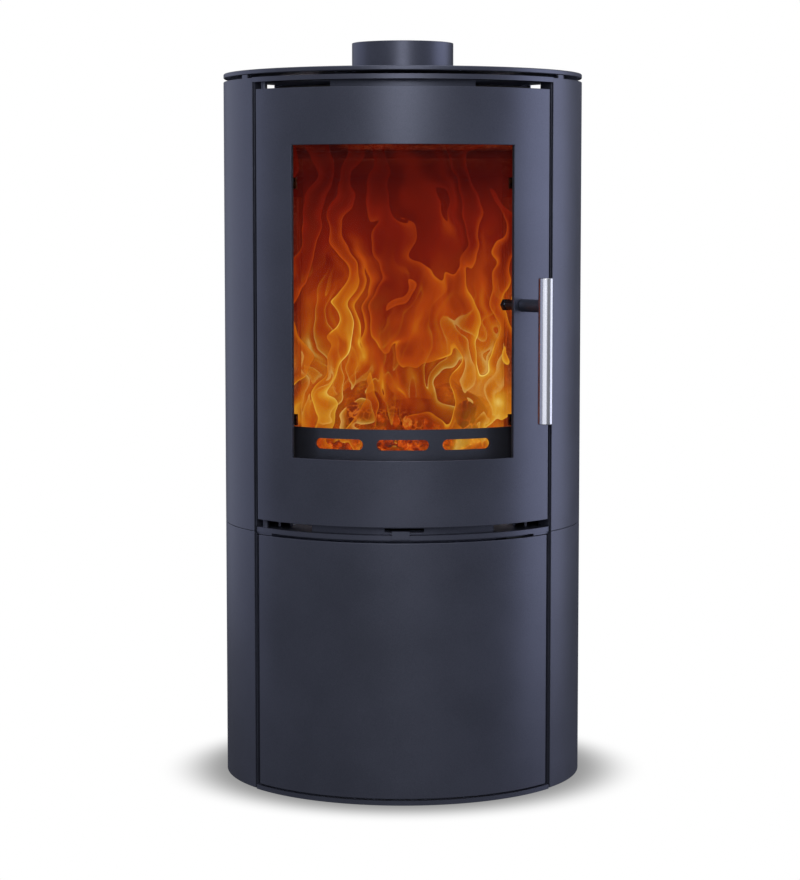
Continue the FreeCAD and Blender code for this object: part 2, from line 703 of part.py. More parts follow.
def make_bricks():
    inner = f"({BOX_IN} - brick)"
    rear = f"({BOX_BACK} - brick - brick_gap)"
    front = minus(BRICK_FRONT)
    node("brick_left", block((minus(BOX_IN), front, HEARTH_TOP), (minus(inner), rear, BRICK_TOP)))
    node("brick_right", block((inner, front, HEARTH_TOP), (BOX_IN, rear, BRICK_TOP)))
    node("brick_rear", block((minus(f"{inner} - brick_gap"), f"{BOX_BACK} - brick", HEARTH_TOP),
                             (f"{inner} - brick_gap", BOX_BACK, BRICK_TOP)))


def baffle_under(distance):
    """Height of the baffle's underside, measured along its slope from the rear edge."""
    return f"({BAFFLE_FOOT} + ({distance}) * sin(baffle_tilt))"


def make_baffle():
    half = f"({BOX_IN} - baffle_margin)"
    board = doc.addObject("Part::Box", "board")
    bind(board, "Length", f"2 * {half}")
    bind(board, "Width", "baffle_length")
    bind(board, "Height", "baffle_sheet")
    board.Placement = FreeCAD.Placement(FreeCAD.Vector(), FreeCAD.Rotation(0, 0, -value("baffle_tilt")))
    bind(board, "Placement.Rotation.Roll", "-baffle_tilt")
    bind(board, "Placement.Base.x", minus(half))
    bind(board, "Placement.Base.y", f"{BAFFLE_REAR} - baffle_length * cos(baffle_tilt)")
    bind(board, "Placement.Base.z", baffle_under("baffle_length"))
    node("baffle", board)


def make_baffle_bars():
    """Two bars across the firebox; the baffle lies on them."""
    bars = []
    for distance in ("rear_bar", "(baffle_length - front_bar)"):
        bar = doc.addObject("Part::Cylinder", "bar")
        bind(bar, "Radius", "bar_stock")
        bind(bar, "Height", f"2 * {BOX_IN}")
        bar.Placement = FreeCAD.Placement(FreeCAD.Vector(), FreeCAD.Rotation(0, 90, 0))
        bind(bar, "Placement.Base.x", minus(BOX_IN))
        bind(bar, "Placement.Base.y",
             f"{BAFFLE_REAR} - {distance} * cos(baffle_tilt) - bar_stock * sin(baffle_tilt)")
        bind(bar, "Placement.Base.z", f"{baffle_under(distance)} - bar_stock * cos(baffle_tilt)")
        bars.append(bar)
    node("baffle_bars", group(bars))


def make_log_guard():
    guard_in = f"({GUARD_OUT} - guard_sheet)"
    body = curved_plate(guard_in, GUARD_OUT, HEARTH_TOP, f"{HEARTH_TOP} + guard_height", "guard_angle")
    inner, outer = f"({guard_in} - {OVERCUT})", f"({GUARD_OUT} + {OVERCUT})"
    middle = f"({HEARTH_TOP} + slot_lift)"
    pitch = f"((slot_length + slot_bridge) / {GUARD_OUT} * 180 / pi)"
    bend = f"((slot_length - slot_height) / 2 / {GUARD_OUT} * 180 / pi)"
    slots = []
    for step in (-1, 0, 1):
        turn = f"({step}) * {pitch}"
        slots.append(sector(inner, outer, f"{middle} - slot_height / 2", f"{middle} + slot_height / 2",
                            f"{turn} - {bend}", f"{turn} + {bend}"))
        for side in ("-", "+"):
            slots.append(radial_rod("slot_height / 2", inner, outer, f"({turn} {side} {bend})", middle))
    node("log_guard", cut(body, slots))


def make_ash_pan():
    low, high = f"({ASH_TOP} + fit_gap)", f"({HEARTH_TOP} - box_plate - pan_top_gap)"
    half = f"({BOX_IN} - pan_side_gap)"
    front, rear = f"(pan_front_gap - sqrt({LAND_IN}^2 - {half}^2))", f"({BOX_BACK} - pan_rear_gap)"
    outside = block((minus(half), front, low), (half, rear, high))
    inside = block((f"-{half} + pan_sheet", f"{front} + pan_sheet", f"{low} + pan_sheet"),
                   (f"{half} - pan_sheet", f"{rear} - pan_sheet", f"{high} + {OVERCUT}"))
    node("ash_pan", cut(outside, [inside]))


def make_front_frame():
    body = curved_plate(LAND_IN, LAND_OUT, LAND_FOOT, LAND_TOP, "land_angle")
    spin(body, oblong(LAND_IN, LAND_OUT, LAND_TOP, RAIL_UNDER), "rail_tab_angle")
    spin_cut(body, LAND_IN, LAND_OUT, MOUTH_FOOT, MOUTH_TOP, "mouth_angle")
    node("front_frame", body)


def make_airwash_plate():
    outer = "(body_radius - airwash_setback)"
    node("airwash_plate", curved_plate(f"{outer} - airwash_sheet", outer,
                                       f"{ROOF_UNDER} - airwash_height", ROOF_UNDER, "airwash_angle"))


# Air box and slider -------------------------------------------------------------------------

def make_air_box():
    body = new_body()
    front = f"({LAND_OUT} + air_box_step)"
    front_in = f"({front} - air_box_sheet)"
    spin(body, [(AIR_BOX_BACK, FLOOR_TOP), (front, FLOOR_TOP), (front, LAND_FOOT),
                (LAND_IN, LAND_FOOT), (LAND_IN, ASH_UNDER), (AIR_BOX_BACK, ASH_UNDER)], "air_box_angle")
    wall_angle = f"(air_box_sheet / {LAND_IN} * 180 / pi)"
    spin(body, oblong(f"{AIR_BOX_BACK} + air_box_sheet", front_in, f"{FLOOR_TOP} - {OVERCUT}",
                      f"{ASH_UNDER} + {OVERCUT}"), f"air_box_angle - {wall_angle}", "PartDesign::Groove")
    slot_low = f"{FLOOR_TOP} + air_slot_lift"
    slot = block(("-air_slot_left", minus(f"{front} + {OVERCUT}"), slot_low),
                 ("air_slot_right", minus(f"{front_in} - air_box_sheet"), f"{slot_low} + air_slot_height"))
    node("air_box", cut(body, [slot]))


def port_row(shift, low, high):
    return [rod("port_radius", low, high, f"{shift} + ({step}) * port_pitch", f"port_setback - {LAND_IN}")
            for step in (-1, 0, 1)]


def make_air_slider():
    low = f"({FLOOR_TOP} + fit_gap)"
    plate_top = f"({low} + slider_sheet)"
    middle = "(tab_across / 2 - tab_left)"
    tab_top = f"({FLOOR_TOP} + tab_top_lift)"
    left, right = "-tab_left", "(tab_across - tab_left)"
    front, neck_front = f"(slider_setback - {LAND_IN})", f"(riser_setback - {LAND_IN})"
    plate = block((f"{middle} - slider_half", front, low),
                  (f"{middle} + slider_half", f"{front} + slider_depth", plate_top))
    neck = block((left, neck_front, low), (right, front, plate_top))
    riser = block((left, neck_front, low), (right, f"{neck_front} + slider_sheet", tab_top))
    stem = block((left, "-body_radius", f"{tab_top} - slider_sheet"), (right, neck_front, tab_top))
    tab = block((left, "-body_radius", f"{tab_top} - tab_drop"),
                (right, "-body_radius + slider_sheet", tab_top))
    ports = port_row("-port_shift", f"{low} - {OVERCUT}", f"{plate_top} + {OVERCUT}")
    node("air_slider", cut(fuse([plate, neck, riser, stem, tab]), ports))


# Body shell ---------------------------------------------------------------------------------

def hinge_pin(low, high):
    """A pin on the hinge line."""
    return rod("pin_radius", low, high, f"-{HINGE_RADIUS} * sin(hinge_angle)",
               f"-{HINGE_RADIUS} * cos(hinge_angle)")


def hinge_hole(low, high):
    return hinge_pin(f"({low}) - {OVERCUT}", f"({high}) + {OVERCUT}")


def floor_disc(low, high, setback):
    """A round floor inside the panels, wider between the side panels at the front."""
    body = new_body()
    inner = f"({PANEL_IN} - fit_gap)"
    spin(body, [("0", low), (inner, low), (inner, high), ("0", high)], "180")
    spin(body, oblong(f"{inner} - {OVERCUT}", f"body_radius - {setback}", low, high),
         "panel_angle - lip_margin")
    return body


def make_body_floor():
    disc = floor_disc("base_height", FLOOR_TOP, "front_setback")
    low, high = f"base_height - {OVERCUT}", f"{FLOOR_TOP} + {OVERCUT}"
    node("body_floor", cut(disc, port_row("0", low, high) + [hinge_hole("base_height", FLOOR_TOP)]))


def make_top_rail():
    rail = curved_plate("body_radius - rail_depth", "body_radius", RAIL_UNDER, RAIL_TOP, "panel_angle")
    node("top_rail", cut(rail, [hinge_hole(RAIL_UNDER, RAIL_TOP)]))


def screw_levels(low, high, count):
    """Evenly spaced heights, the end ones inside the panel's edges."""
    span = f"(({high}) - ({low}) - 2 * screw_margin)"
    return [f"({low}) + screw_margin + {span} * {index} / ({count} - 1)"
            for index in range(int(value(count)))]


def screw_tools(sides, levels):
    return [radial_rod("screw_radius", f"{PANEL_IN} - rear_sheet - {OVERCUT}", f"body_radius + {OVERCUT}",
                       f"({side}screw_angle)", level) for side in sides for level in levels]


def panel_screws(levels):
    screws = []
    for side in ("", "-"):
        angle = f"({side}screw_angle)"
        for level in levels:
            shank = radial_rod("screw_radius", f"{PANEL_IN} - rear_sheet", "body_radius", angle, level)
            head = radial_rod("screw_head", "body_radius", "body_radius + screw_head_height", angle, level)
            screws.append(fuse([shank, head]))
    return group(screws)


def side_panel(low, high, flange_low, flange_high, side, levels, tabs):
    """A curved side panel with a folded front edge; side is '' for the right and '-' for the left."""
    fold = f"(panel_sheet / {PANEL_IN} * 180 / pi)"

    def piece(inner, outer, bottom, top, start, stop):
        if side:
            start, stop = minus(stop), minus(start)
        return sector(inner, outer, bottom, top, start, stop)

    shell = piece(PANEL_IN, "body_radius", low, high, "panel_angle", "panel_rear_angle")
    flange = piece(f"{PANEL_IN} - flange_depth", f"{PANEL_IN} + {OVERCUT}", flange_low, flange_high,
                   "panel_angle", f"panel_angle + {fold}")
    parts = [shell, flange]
    for middle in tabs:
        parts.append(piece(PANEL_IN, "body_radius", f"({high}) - {OVERCUT}", PLATE_UNDER,
                           f"{middle} - tab_width / 2", f"{middle} + tab_width / 2"))
    return cut(fuse(parts), screw_tools([side], levels))


def rear_panel(low, high, levels, vent_rows):
    """A curved rear panel with rows of vents, each row given by its lower edge."""
    inner = f"({PANEL_IN} - rear_sheet)"
    body = new_body()
    half = "(180 - panel_rear_angle + rear_lap_angle)"
    spin(body, oblong(inner, PANEL_IN, low, high), half)
    move(body, turn="180")
    vents = []
    for start in vent_rows:
        for index in range(int(value("vents"))):
            middle = f"(180 + vent_pitch * ({index} - (vents - 1) / 2))"
            vents.append(sector(f"{inner} - {OVERCUT}", f"{PANEL_IN} + {OVERCUT}", start,
                                f"{start} + vent_height", f"{middle} - vent_width / 2",
                                f"{middle} + vent_width / 2"))
    return cut(body, vents + screw_tools(("", "-"), levels))


def make_upper_shell():
    rear_top = f"{PLATE_UNDER} - rear_vent_drop"
    levels = screw_levels(FLOOR_TOP, rear_top, "upper_screws")
    for name, side in (("side_panel_right", ""), ("side_panel_left", "-")):
        node(name, side_panel("base_height", PANEL_TOP, FLOOR_TOP, PANEL_TOP, side, levels,
                              ("front_tab_angle", "rear_tab_angle")))
    vent_rows = (f"{FLOOR_TOP} + vent_margin", f"{rear_top} - vent_margin - vent_height")
    lip = sector(f"({PANEL_IN} - rear_sheet)", PANEL_IN, f"{rear_top} - {OVERCUT}", PLATE_UNDER,
                 "180 - rear_lip_angle", "180 + rear_lip_angle")
    node("rear_panel", fuse([rear_panel(FLOOR_TOP, rear_top, levels, vent_rows), lip]))
    node("panel_screws", panel_screws(levels))


def make_heat_shield():
    low = f"({FLOOR_TOP} + shield_foot)"
    sheet_front = f"({SHIELD_REAR} - rear_sheet)"
    board = block((minus(SHIELD_HALF), sheet_front, low),
                  (SHIELD_HALF, SHIELD_REAR, f"{ROOF_TOP} - shield_head"))
    legs = []
    for side in ("-", ""):
        middle = f"({side}({SHIELD_HALF} - shield_leg))"
        legs.append(block((f"{middle} - shield_leg", sheet_front, FLOOR_TOP),
                          (f"{middle} + shield_leg", SHIELD_REAR, f"{low} + {OVERCUT}")))
    node("heat_shield", fuse([board] + legs))


def make_firebox_supports():
    """A channel under each firebox wall."""
    front, rear = f"(support_setback - {BOX_FRONT})", f"({BOX_REAR} - support_rear_gap)"
    for name, side in (("firebox_support_right", 1), ("firebox_support_left", -1)):
        middle = f"({side} * ({SUPPORT_IN} + support_width / 2))"
        left, right = f"({middle} - support_width / 2)", f"({middle} + support_width / 2)"
        outside = block((left, front, FLOOR_TOP), (right, rear, ASH_UNDER))
        inside = block((f"{left} + panel_sheet", f"{front} - {OVERCUT}", f"{FLOOR_TOP} - {OVERCUT}"),
                       (f"{right} - panel_sheet", f"{rear} + {OVERCUT}", f"{ASH_UNDER} - panel_sheet"))
        node(name, cut(outside, [inside]))


# Hinges -------------------------------------------------------------------------------------

def hinge_block(low, high, bore_low, bore_high):
    """A barrel on the pin with a foot against the door skin, turned to the hinge line."""
    barrel = rod(BARREL, low, high, "0", minus(HINGE_RADIUS))
    foot = block(("-hinge_foot", f"-{SKIN_IN} - {OVERCUT}", low), ("hinge_foot", minus(HINGE_RADIUS), high))
    skin_face = rod(SKIN_IN, low, high)
    bore = rod("pin_radius + pin_gap", bore_low, bore_high, "0", minus(HINGE_RADIUS))
    return move(cut(common([fuse([barrel, foot]), skin_face]), [bore]), turn="-hinge_angle")


def make_hinges(prefix, foot, top, edge, pin_foot, pin_top):
    """Pins held by the body and blocks on the door, each pin in a blind bore."""
    low, high = f"({foot}) + {edge}", f"({top}) - {edge}"
    node(f"{prefix}pin_bottom", hinge_pin(pin_foot, f"{low} + pin_hold"))
    node(f"{prefix}pin_top", hinge_pin(f"{high} - pin_hold", pin_top))
    node(f"{prefix}hinge_bottom", hinge_block(low, f"{low} + block_height", f"{low} - {OVERCUT}",
                                              f"{low} + pin_hold + pin_gap"))
    node(f"{prefix}hinge_top", hinge_block(f"{high} - block_height", high,
                                           f"{high} - pin_hold - fit_gap", f"{high} + {OVERCUT}"))


# Stove door ---------------------------------------------------------------------------------

def clip_levels():
    """Heights of the glass clips, each side of the window."""
    return [f"{WINDOW_FOOT} + clip_inset", f"{WINDOW_TOP} - clip_inset"]


def clip_screw_tools(radius):
    return [radial_rod(radius, f"{FRAME_IN} - clip_sheet - {OVERCUT}", f"{FRAME_IN} + clip_screw_length",
                       f"({side}{CLIP_SCREW_ANGLE})", level) for side in ("", "-") for level in clip_levels()]


def make_door_skin():
    body = curved_plate(SKIN_IN, "body_radius", DOOR_FOOT, DOOR_TOP, "door_angle")
    spin_cut(body, SKIN_IN, "body_radius", WINDOW_FOOT, WINDOW_TOP, "window_angle")
    spindle = radial_rod("bush_radius", BUSH_IN, f"{BUSH_OUT} + {OVERCUT}", "spindle_angle", SPINDLE_LEVEL)
    node("door_skin", cut(body, [spindle]))


def make_door_frame():
    body = curved_plate(FRAME_IN, SKIN_IN, FRAME_FOOT, FRAME_TOP, "frame_angle")
    spin_cut(body, FRAME_IN, SKIN_IN, f"{FRAME_FOOT} + frame_foot_width", f"{FRAME_TOP} - frame_head_width",
             "frame_inner_angle")
    groove = rope_ring(f"{FRAME_IN} - {OVERCUT}", f"{FRAME_IN} + rope_groove")
    node("door_frame", cut(body, [groove] + clip_screw_tools("clip_screw")))


def rope_ring(inner, outer):
    """A square ring that follows the door's edge, centred on the rope."""
    half = "rope_size / 2"
    ring = curved_plate(inner, outer, f"{ROPE_FOOT} - {half}", f"{ROPE_TOP} + {half}",
                        f"rope_angle + {ROPE_HALF}")
    spin_cut(ring, inner, outer, f"{ROPE_FOOT} + {half}", f"{ROPE_TOP} - {half}", f"rope_angle - {ROPE_HALF}")
    return ring


def make_glazing():
    low, high = f"{WINDOW_FOOT} - glass_lap", f"{WINDOW_TOP} + glass_lap"
    node("glass", curved_plate(GLASS_IN, GLASS_OUT, low, high, "glass_angle"))
    gasket = curved_plate(GLASS_OUT, SKIN_IN, low, high, "glass_angle")
    step = f"(gasket_step / {GLASS_OUT} * 180 / pi)"
    spin_cut(gasket, GLASS_OUT, SKIN_IN, f"{WINDOW_FOOT} - gasket_step", f"{WINDOW_TOP} + gasket_step",
             f"window_angle + {step}")
    node("glass_gasket", gasket)
    node("door_rope", rope_ring(f"{LAND_OUT} + fit_gap", f"{FRAME_IN} + rope_groove"))


def make_glass_clips():
    clips = []
    screws = []
    grip_start = "(glass_angle - clip_grip)"
    for side in ("", "-"):
        for level in clip_levels():
            low, high = f"{level} - clip_height / 2", f"{level} + clip_height / 2"
            ends = [(f"({FRAME_IN} - clip_sheet)", FRAME_IN, grip_start, "(frame_inner_angle + clip_reach)"),
                    (FRAME_IN, GLASS_IN, grip_start, "glass_angle")]
            pieces = []
            for inner, outer, start, stop in ends:
                if side:
                    start, stop = minus(stop), minus(start)
                pieces.append(sector(inner, outer, low, high, start, stop))
            clips.append(fuse(pieces))
            angle = f"({side}{CLIP_SCREW_ANGLE})"
            seat = f"{FRAME_IN} - clip_sheet - fit_gap / 2"
            head = radial_rod("clip_head", f"{seat} - clip_head_height", seat, angle, level)
            shank = radial_rod("clip_screw", seat, f"{FRAME_IN} + clip_screw_length", angle, level)
            screws.append(fuse([head, shank]))
    node("glass_clips", cut(group(clips), clip_screw_tools("clip_screw")))
    node("clip_screws", group(screws))


# Handle and latch, modelled facing the front and turned to the spindle's angle -------------------

def spindle_rod(radius, inner, outer):
    """A cylinder along the spindle, before it is turned."""
    return radial_rod(radius, inner, outer, "0", SPINDLE_LEVEL)


def turn_to_spindle(name, thing):
    return node(name, move(thing, turn="spindle_angle"))


def make_handle():
    bore = spindle_rod("spindle_radius + bush_gap", f"{BUSH_IN} - {OVERCUT}", f"{BUSH_OUT} + {OVERCUT}")
    turn_to_spindle("handle_bush", cut(spindle_rod("bush_radius", BUSH_IN, BUSH_OUT), [bore]))

    bar = new_body()
    low, high = f"({SPINDLE_LEVEL} - bar_below)", f"({SPINDLE_LEVEL} + bar_above)"
    end_radius = "bar_radius - bar_chamfer"
    spin(bar, [("0", low), (end_radius, low), ("bar_radius", f"{low} + bar_chamfer"),
               ("bar_radius", f"{high} - bar_chamfer"), (end_radius, high), ("0", high)], "180")
    move(bar, f"{BAR_LINE} * sin(spindle_angle)", f"-{BAR_LINE} * cos(spindle_angle)", turn="spindle_angle")
    node("handle_bar", bar)

    stalk = spindle_rod("stalk_radius", f"{BUSH_OUT} + fit_gap", BAR_LINE)
    shaft = spindle_rod("spindle_radius", f"{NUT_IN} - spindle_end", f"{BUSH_OUT} + 2 * fit_gap")
    bar_seat = rod("bar_radius", low, high, "0", minus(BAR_LINE))
    turn_to_spindle("handle_stalk", cut(fuse([shaft, stalk]), [bar_seat]))


def make_latch():
    def with_bore(shape):
        return cut(shape, [spindle_rod("spindle_radius", f"{NUT_IN} - {OVERCUT}", f"{BUSH_IN} + {OVERCUT}")])

    plate = block(("0", minus(TONGUE_OUT), f"{SPINDLE_LEVEL} - tongue_width / 2"),
                  ("tongue_reach", minus(TONGUE_IN), f"{SPINDLE_LEVEL} + tongue_width / 2"))
    boss = spindle_rod("tongue_width / 2", TONGUE_IN, TONGUE_OUT)
    turn_to_spindle("latch_tongue", with_bore(fuse([plate, boss])))
    spacer = spindle_rod("bush_radius", TONGUE_OUT, f"{BUSH_IN} - fit_gap")
    turn_to_spindle("latch_spacer", with_bore(spacer))
    nut = hexagon("nut_radius", "0", "nut_height")
    move(nut, "0", minus(NUT_IN), SPINDLE_LEVEL, roll=90)
    turn_to_spindle("latch_nut", with_bore(nut))


# Base ---------------------------------------------------------------------------------------

def make_base_shell():
    node("base_floor", cut(floor_disc("0", "plate", "base_setback"), [hinge_hole("0", "plate")]))
    levels = screw_levels("plate", BASE_LID_UNDER, "base_screws")
    for name, side in (("base_panel_right", ""), ("base_panel_left", "-")):
        node(name, side_panel("panel_foot", "base_height - seam_gap", "plate", BASE_LID_UNDER, side,
                              levels, ()))
    node("base_rear_panel", rear_panel("plate", BASE_LID_UNDER, levels, ("plate + vent_margin",)))
    node("base_panel_screws", panel_screws(levels))


def make_base_lid():
    body = new_body()
    edge = f"({PANEL_IN} - 2 * fit_gap)"
    spin(body, [("0", BASE_LID_UNDER), (edge, BASE_LID_UNDER), (edge, "base_height"), ("0", "base_height")],
         "180")
    spin_cut(body, f"body_radius - lid_setback + {OVERCUT}", edge, f"{BASE_LID_UNDER} - {OVERCUT}",
             f"base_height + {OVERCUT}", "lid_ear_angle")
    holes = port_row("0", f"{BASE_LID_UNDER} - {OVERCUT}", f"base_height + {OVERCUT}")
    node("base_lid", cut(body, holes + [hinge_hole(BASE_LID_UNDER, "base_height")]))


def make_base_door():
    node("base_door_skin", curved_plate(SKIN_IN, "body_radius", "base_door_foot", BASE_DOOR_TOP,
                                        "base_door_angle"))
    inner = f"({SKIN_IN} - base_frame_bar)"
    low, high = "(base_door_foot + base_frame_edge)", f"({BASE_DOOR_TOP} - base_frame_edge)"
    frame = curved_plate(inner, SKIN_IN, low, high, "base_frame_angle")
    spin_cut(frame, inner, SKIN_IN, f"{low} + base_frame_width", f"{high} - base_frame_width",
             "base_frame_inner")
    node("base_door_frame", frame)


def make_magnet_catch():
    face = f"({STRIKER_IN} - striker_gap)"
    case = block(("-magnet_half", minus(face), f"{BASE_LID_UNDER} - magnet_height"),
                 ("magnet_half", f"-({face} - magnet_depth)", BASE_LID_UNDER))
    rounded = common([case, rod(face, f"{BASE_LID_UNDER} - magnet_height", BASE_LID_UNDER)])
    node("magnet_catch", move(rounded, turn="magnet_angle"))
    half = f"(magnet_half / {STRIKER_IN} * 180 / pi)"
    high = f"({BASE_DOOR_TOP} - base_frame_edge)"
    node("base_striker", sector(STRIKER_IN, f"{SKIN_IN} - base_frame_bar", f"{high} - magnet_height", high,
                                f"magnet_angle - {half}", f"magnet_angle + {half}"))


# Assembly -----------------------------------------------------------------------------------

make_top_plate()
make_flue_spigot()
make_spigot_bolts()
make_firebox_wrap()
make_firebox_roof()
make_ash_floor()
make_hearth_plate()
make_grate()
make_bricks()
make_baffle()
make_baffle_bars()
make_log_guard()
make_ash_pan()
make_front_frame()
make_airwash_plate()
make_air_box()
make_air_slider()
make_body_floor()
make_top_rail()
make_upper_shell()
make_heat_shield()
make_firebox_supports()
make_hinges("door_", DOOR_FOOT, DOOR_TOP, "block_edge", "base_height", RAIL_TOP)
make_door_skin()
make_door_frame()
make_glazing()
make_glass_clips()
make_handle()
make_latch()
make_base_shell()
make_base_lid()
make_hinges("base_", "base_door_foot", BASE_DOOR_TOP, "base_block_edge", "0", "base_height")
make_base_door()
make_magnet_catch()
doc.recompute()

faults = [thing.Label for thing in doc.Objects if "Invalid" in thing.State or "Error" in thing.State]
if faults:
    raise RuntimeError("failed objects: " + ", ".join(faults))
for name, thing in nodes.items():
    if thing.Shape.isNull() or not thing.Shape.isValid() or not thing.Shape.Solids:
        raise RuntimeError("bad shape: " + name)

os.makedirs("parts", exist_ok=True)
for name, thing in nodes.items():
    thing.Shape.exportStep(os.path.join("parts", name + ".step"))
print(len(nodes), "nodes written")
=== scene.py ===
"""Wood burning stove: painted steel shell, glazed door, braided seal, fire and studio."""

import math
from functools import partial

import bpy
from bpy.props import FloatProperty, FloatVectorProperty, IntProperty
from mathutils import Matrix, Vector, noise


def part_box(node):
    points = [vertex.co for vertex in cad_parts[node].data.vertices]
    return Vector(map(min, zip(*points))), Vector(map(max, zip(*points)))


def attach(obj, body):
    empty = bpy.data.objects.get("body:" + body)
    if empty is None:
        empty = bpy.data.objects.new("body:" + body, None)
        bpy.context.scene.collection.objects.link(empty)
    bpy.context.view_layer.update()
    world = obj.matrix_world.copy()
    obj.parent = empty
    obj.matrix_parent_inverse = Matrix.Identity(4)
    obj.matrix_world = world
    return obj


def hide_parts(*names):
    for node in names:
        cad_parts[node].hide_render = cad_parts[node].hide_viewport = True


bl_info = {
    "name": "Wood burning stove",
    "version": (1, 0, 0),
    "blender": (4, 5, 0),
    "location": "View3D > Sidebar > Stove",
    "description": "Builds the stove's visible pieces, its finishes and a studio around its CAD frame",
    "category": "Object",
}

# Units are metres.  +Z up, the front faces -Y.  Angles round the body are degrees from the front,
# positive towards +X.
MM = 0.001
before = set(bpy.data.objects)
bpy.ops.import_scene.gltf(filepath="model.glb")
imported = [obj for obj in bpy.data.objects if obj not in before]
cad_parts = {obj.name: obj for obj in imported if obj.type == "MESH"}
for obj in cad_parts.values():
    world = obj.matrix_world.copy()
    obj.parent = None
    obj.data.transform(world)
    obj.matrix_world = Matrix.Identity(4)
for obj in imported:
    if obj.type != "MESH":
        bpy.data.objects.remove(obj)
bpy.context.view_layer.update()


# Reading the frame --------------------------------------------------

def low(node):
    """The lowest corner of a CAD node's box."""
    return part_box(node)[0]


def high(node):
    """The highest corner of a CAD node's box."""
    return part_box(node)[1]


BODY_RADIUS = -low("door_skin").y
HEARTH = high("hearth_plate").z


def half_angle(node, radius=BODY_RADIUS):
    """Half the angle that a plate centred on the front takes up."""
    return math.degrees(math.asin(high(node).x / radius))


def angle_at(depth, radius=BODY_RADIUS):
    """The direction in which a circle round the body's axis has that y."""
    return math.degrees(math.acos(-depth / radius))


def linear(code):
    """An sRGB hex colour as linear red, green and blue."""
    channels = [int(code[place:place + 2], 16) / 255 for place in (1, 3, 5)]
    return tuple(c / 12.92 if c <= 0.04045 else ((c + 0.055) / 1.055) ** 2.4 for c in channels)


# Settings -----------------------------------------------------------

def size(name, default, description):
    """A length, given in millimetres and kept in metres."""
    return FloatProperty(name=name, default=default * MM, description=description,
                         subtype="DISTANCE", unit="LENGTH", precision=5)


def degrees(name, default, description):
    """An angle round the body."""
    return FloatProperty(name=name, default=default, description=description + ", degrees")


def colour(name, code, description):
    """A colour, given as sRGB hex and kept linear."""
    return FloatVectorProperty(name=name, default=linear(code), description=description,
                               subtype="COLOR", size=3, min=0, max=1)


class StoveSizes(bpy.types.PropertyGroup):
    facet: FloatProperty(name="Facet", default=1, min=0.25, description="Angle of one facet, degrees")
    edge: size("Sheet edge", 0.7, "Rounding of cut and folded sheet edges")
    rim: size("Rim edge", 1.5, "Rounding of the top plate's rim")
    sheet: size("Sheet", 3, "Side panel sheet")
    skin: size("Door skin", 4, "Plate of the doors")
    rear_sheet: size("Rear sheet", 2, "Rear panel sheet")
    glass_sheet: size("Glass", 4, "Ceramic glass")
    glass_edge: size("Glass edge", 0.5, "Rounding of the glass's edges")
    glass_lap: size("Glass lap", 12, "Glass above and below the window")
    glass_side: degrees("Glass side lap", 1.7, "Glass beside the window")
    tab: degrees("Tab", 3.4, "Width of a top plate tab")
    tab_front: degrees("Front tab", 58.6, "Front tab's middle")
    tab_rear: degrees("Rear tab", 117.2, "Rear tab's middle")
    panel_top_gap: size("Panel gap", 4.5, "Air gap over the side panels")
    flange: size("Flange", 17, "Folded front edge of a side panel")
    rear_lip: size("Rear lip", 20, "Raised middle of the stove's rear panel")
    rear_lip_angle: degrees("Rear lip angle", 49.5, "Half the raised middle's width")
    vent_height: size("Vent height", 70, "Height of the rear vents")
    vent_margin: size("Vent margin", 35, "Vents from the rear panel's ends")
    vent_width: degrees("Vent width", 3, "Rear vent")
    vent_pitch: degrees("Vent pitch", 7, "Between rear vents")
    vents: IntProperty(name="Vents", default=9, description="Rear vents in a row")
    bore: size("Bore", 62.5, "Radius of the flue collar's bore")
    collar_wall: size("Collar wall", 4, "Wall of the flue collar")
    collar_flange: size("Collar flange", 5, "Thickness of the collar's flange")
    collar_gap: size("Collar gap", 1.5, "Top plate's hole round the collar")
    bolt_circle: size("Bolt circle", 78, "Radius of the collar's bolt circle")
    bolt: size("Bolt", 7, "Radius of a bolt head, across corners")
    bolt_height: size("Bolt height", 5.3, "Bolt head with its washer")
    screw_angle: degrees("Screw angle", 121, "Rear screws")
    screw_margin: size("Screw margin", 45, "End screws from the rear panel's ends")
    screw: size("Screw", 4.6, "Radius of a panel screw's head")
    screw_height: size("Screw height", 2.2, "Panel screw's head")
    clip_angle: degrees("Clip angle", 42.6, "Glass clip screws")
    clip_margin: size("Clip margin", 59, "Glass clip screws from the glass's ends")
    clip_depth: size("Clip depth", 13.6, "Seat of the clip screws behind the body's outside")
    clip_screw: size("Clip screw", 4.8, "Radius of a clip screw's head")
    clip_screw_height: size("Clip screw height", 2.4, "Clip screw's head")
    bar_edge: size("Bar edge", 0.9, "Rounding of the handle bar's ends")
    rope: size("Rope", 4.6, "Radius of the door's rope seal")
    rope_gap: size("Rope gap", 0.4, "Rope inside its groove")
    rope_bend: size("Rope bend", 12, "Radius of the seal's corners")
    strand: size("Strand", 1.15, "Radius of one strand of the seal")
    strand_step: size("Strand step", 1.8, "Between points along a strand")
    strands: IntProperty(name="Strands", default=10, description="Strands in the seal's braid")
    rope_turns: IntProperty(name="Braid turns", default=88, description="Turns of a strand round the seal")
    coals: IntProperty(name="Coals", default=420, description="Coals on the fire bed")
    coal: size("Coal", 9, "Typical radius of a coal")


class StoveColours(bpy.types.PropertyGroup):
    paint: colour("Stove paint", "#585b6a", "Sprayed metallic stove paint")
    soot: colour("Soot", "#15110f", "Soot and char")
    stainless: colour("Stainless", "#d9dade", "Brushed stainless steel")
    zinc: colour("Zinc", "#6c7078", "Zinc plated fasteners, darkened by heat")
    iron: colour("Cast iron", "#2b2a2b", "Grate casting")
    board: colour("Fire board", "#b8a27c", "Pressed vermiculite")
    glass: colour("Glass", "#2c2a28", "Smoky cast of the ceramic glass")
    rope: colour("Rope", "#3b3a39", "Graphited glass fibre")
    plastic: colour("Catch", "#1b1c1e", "Moulded catch")


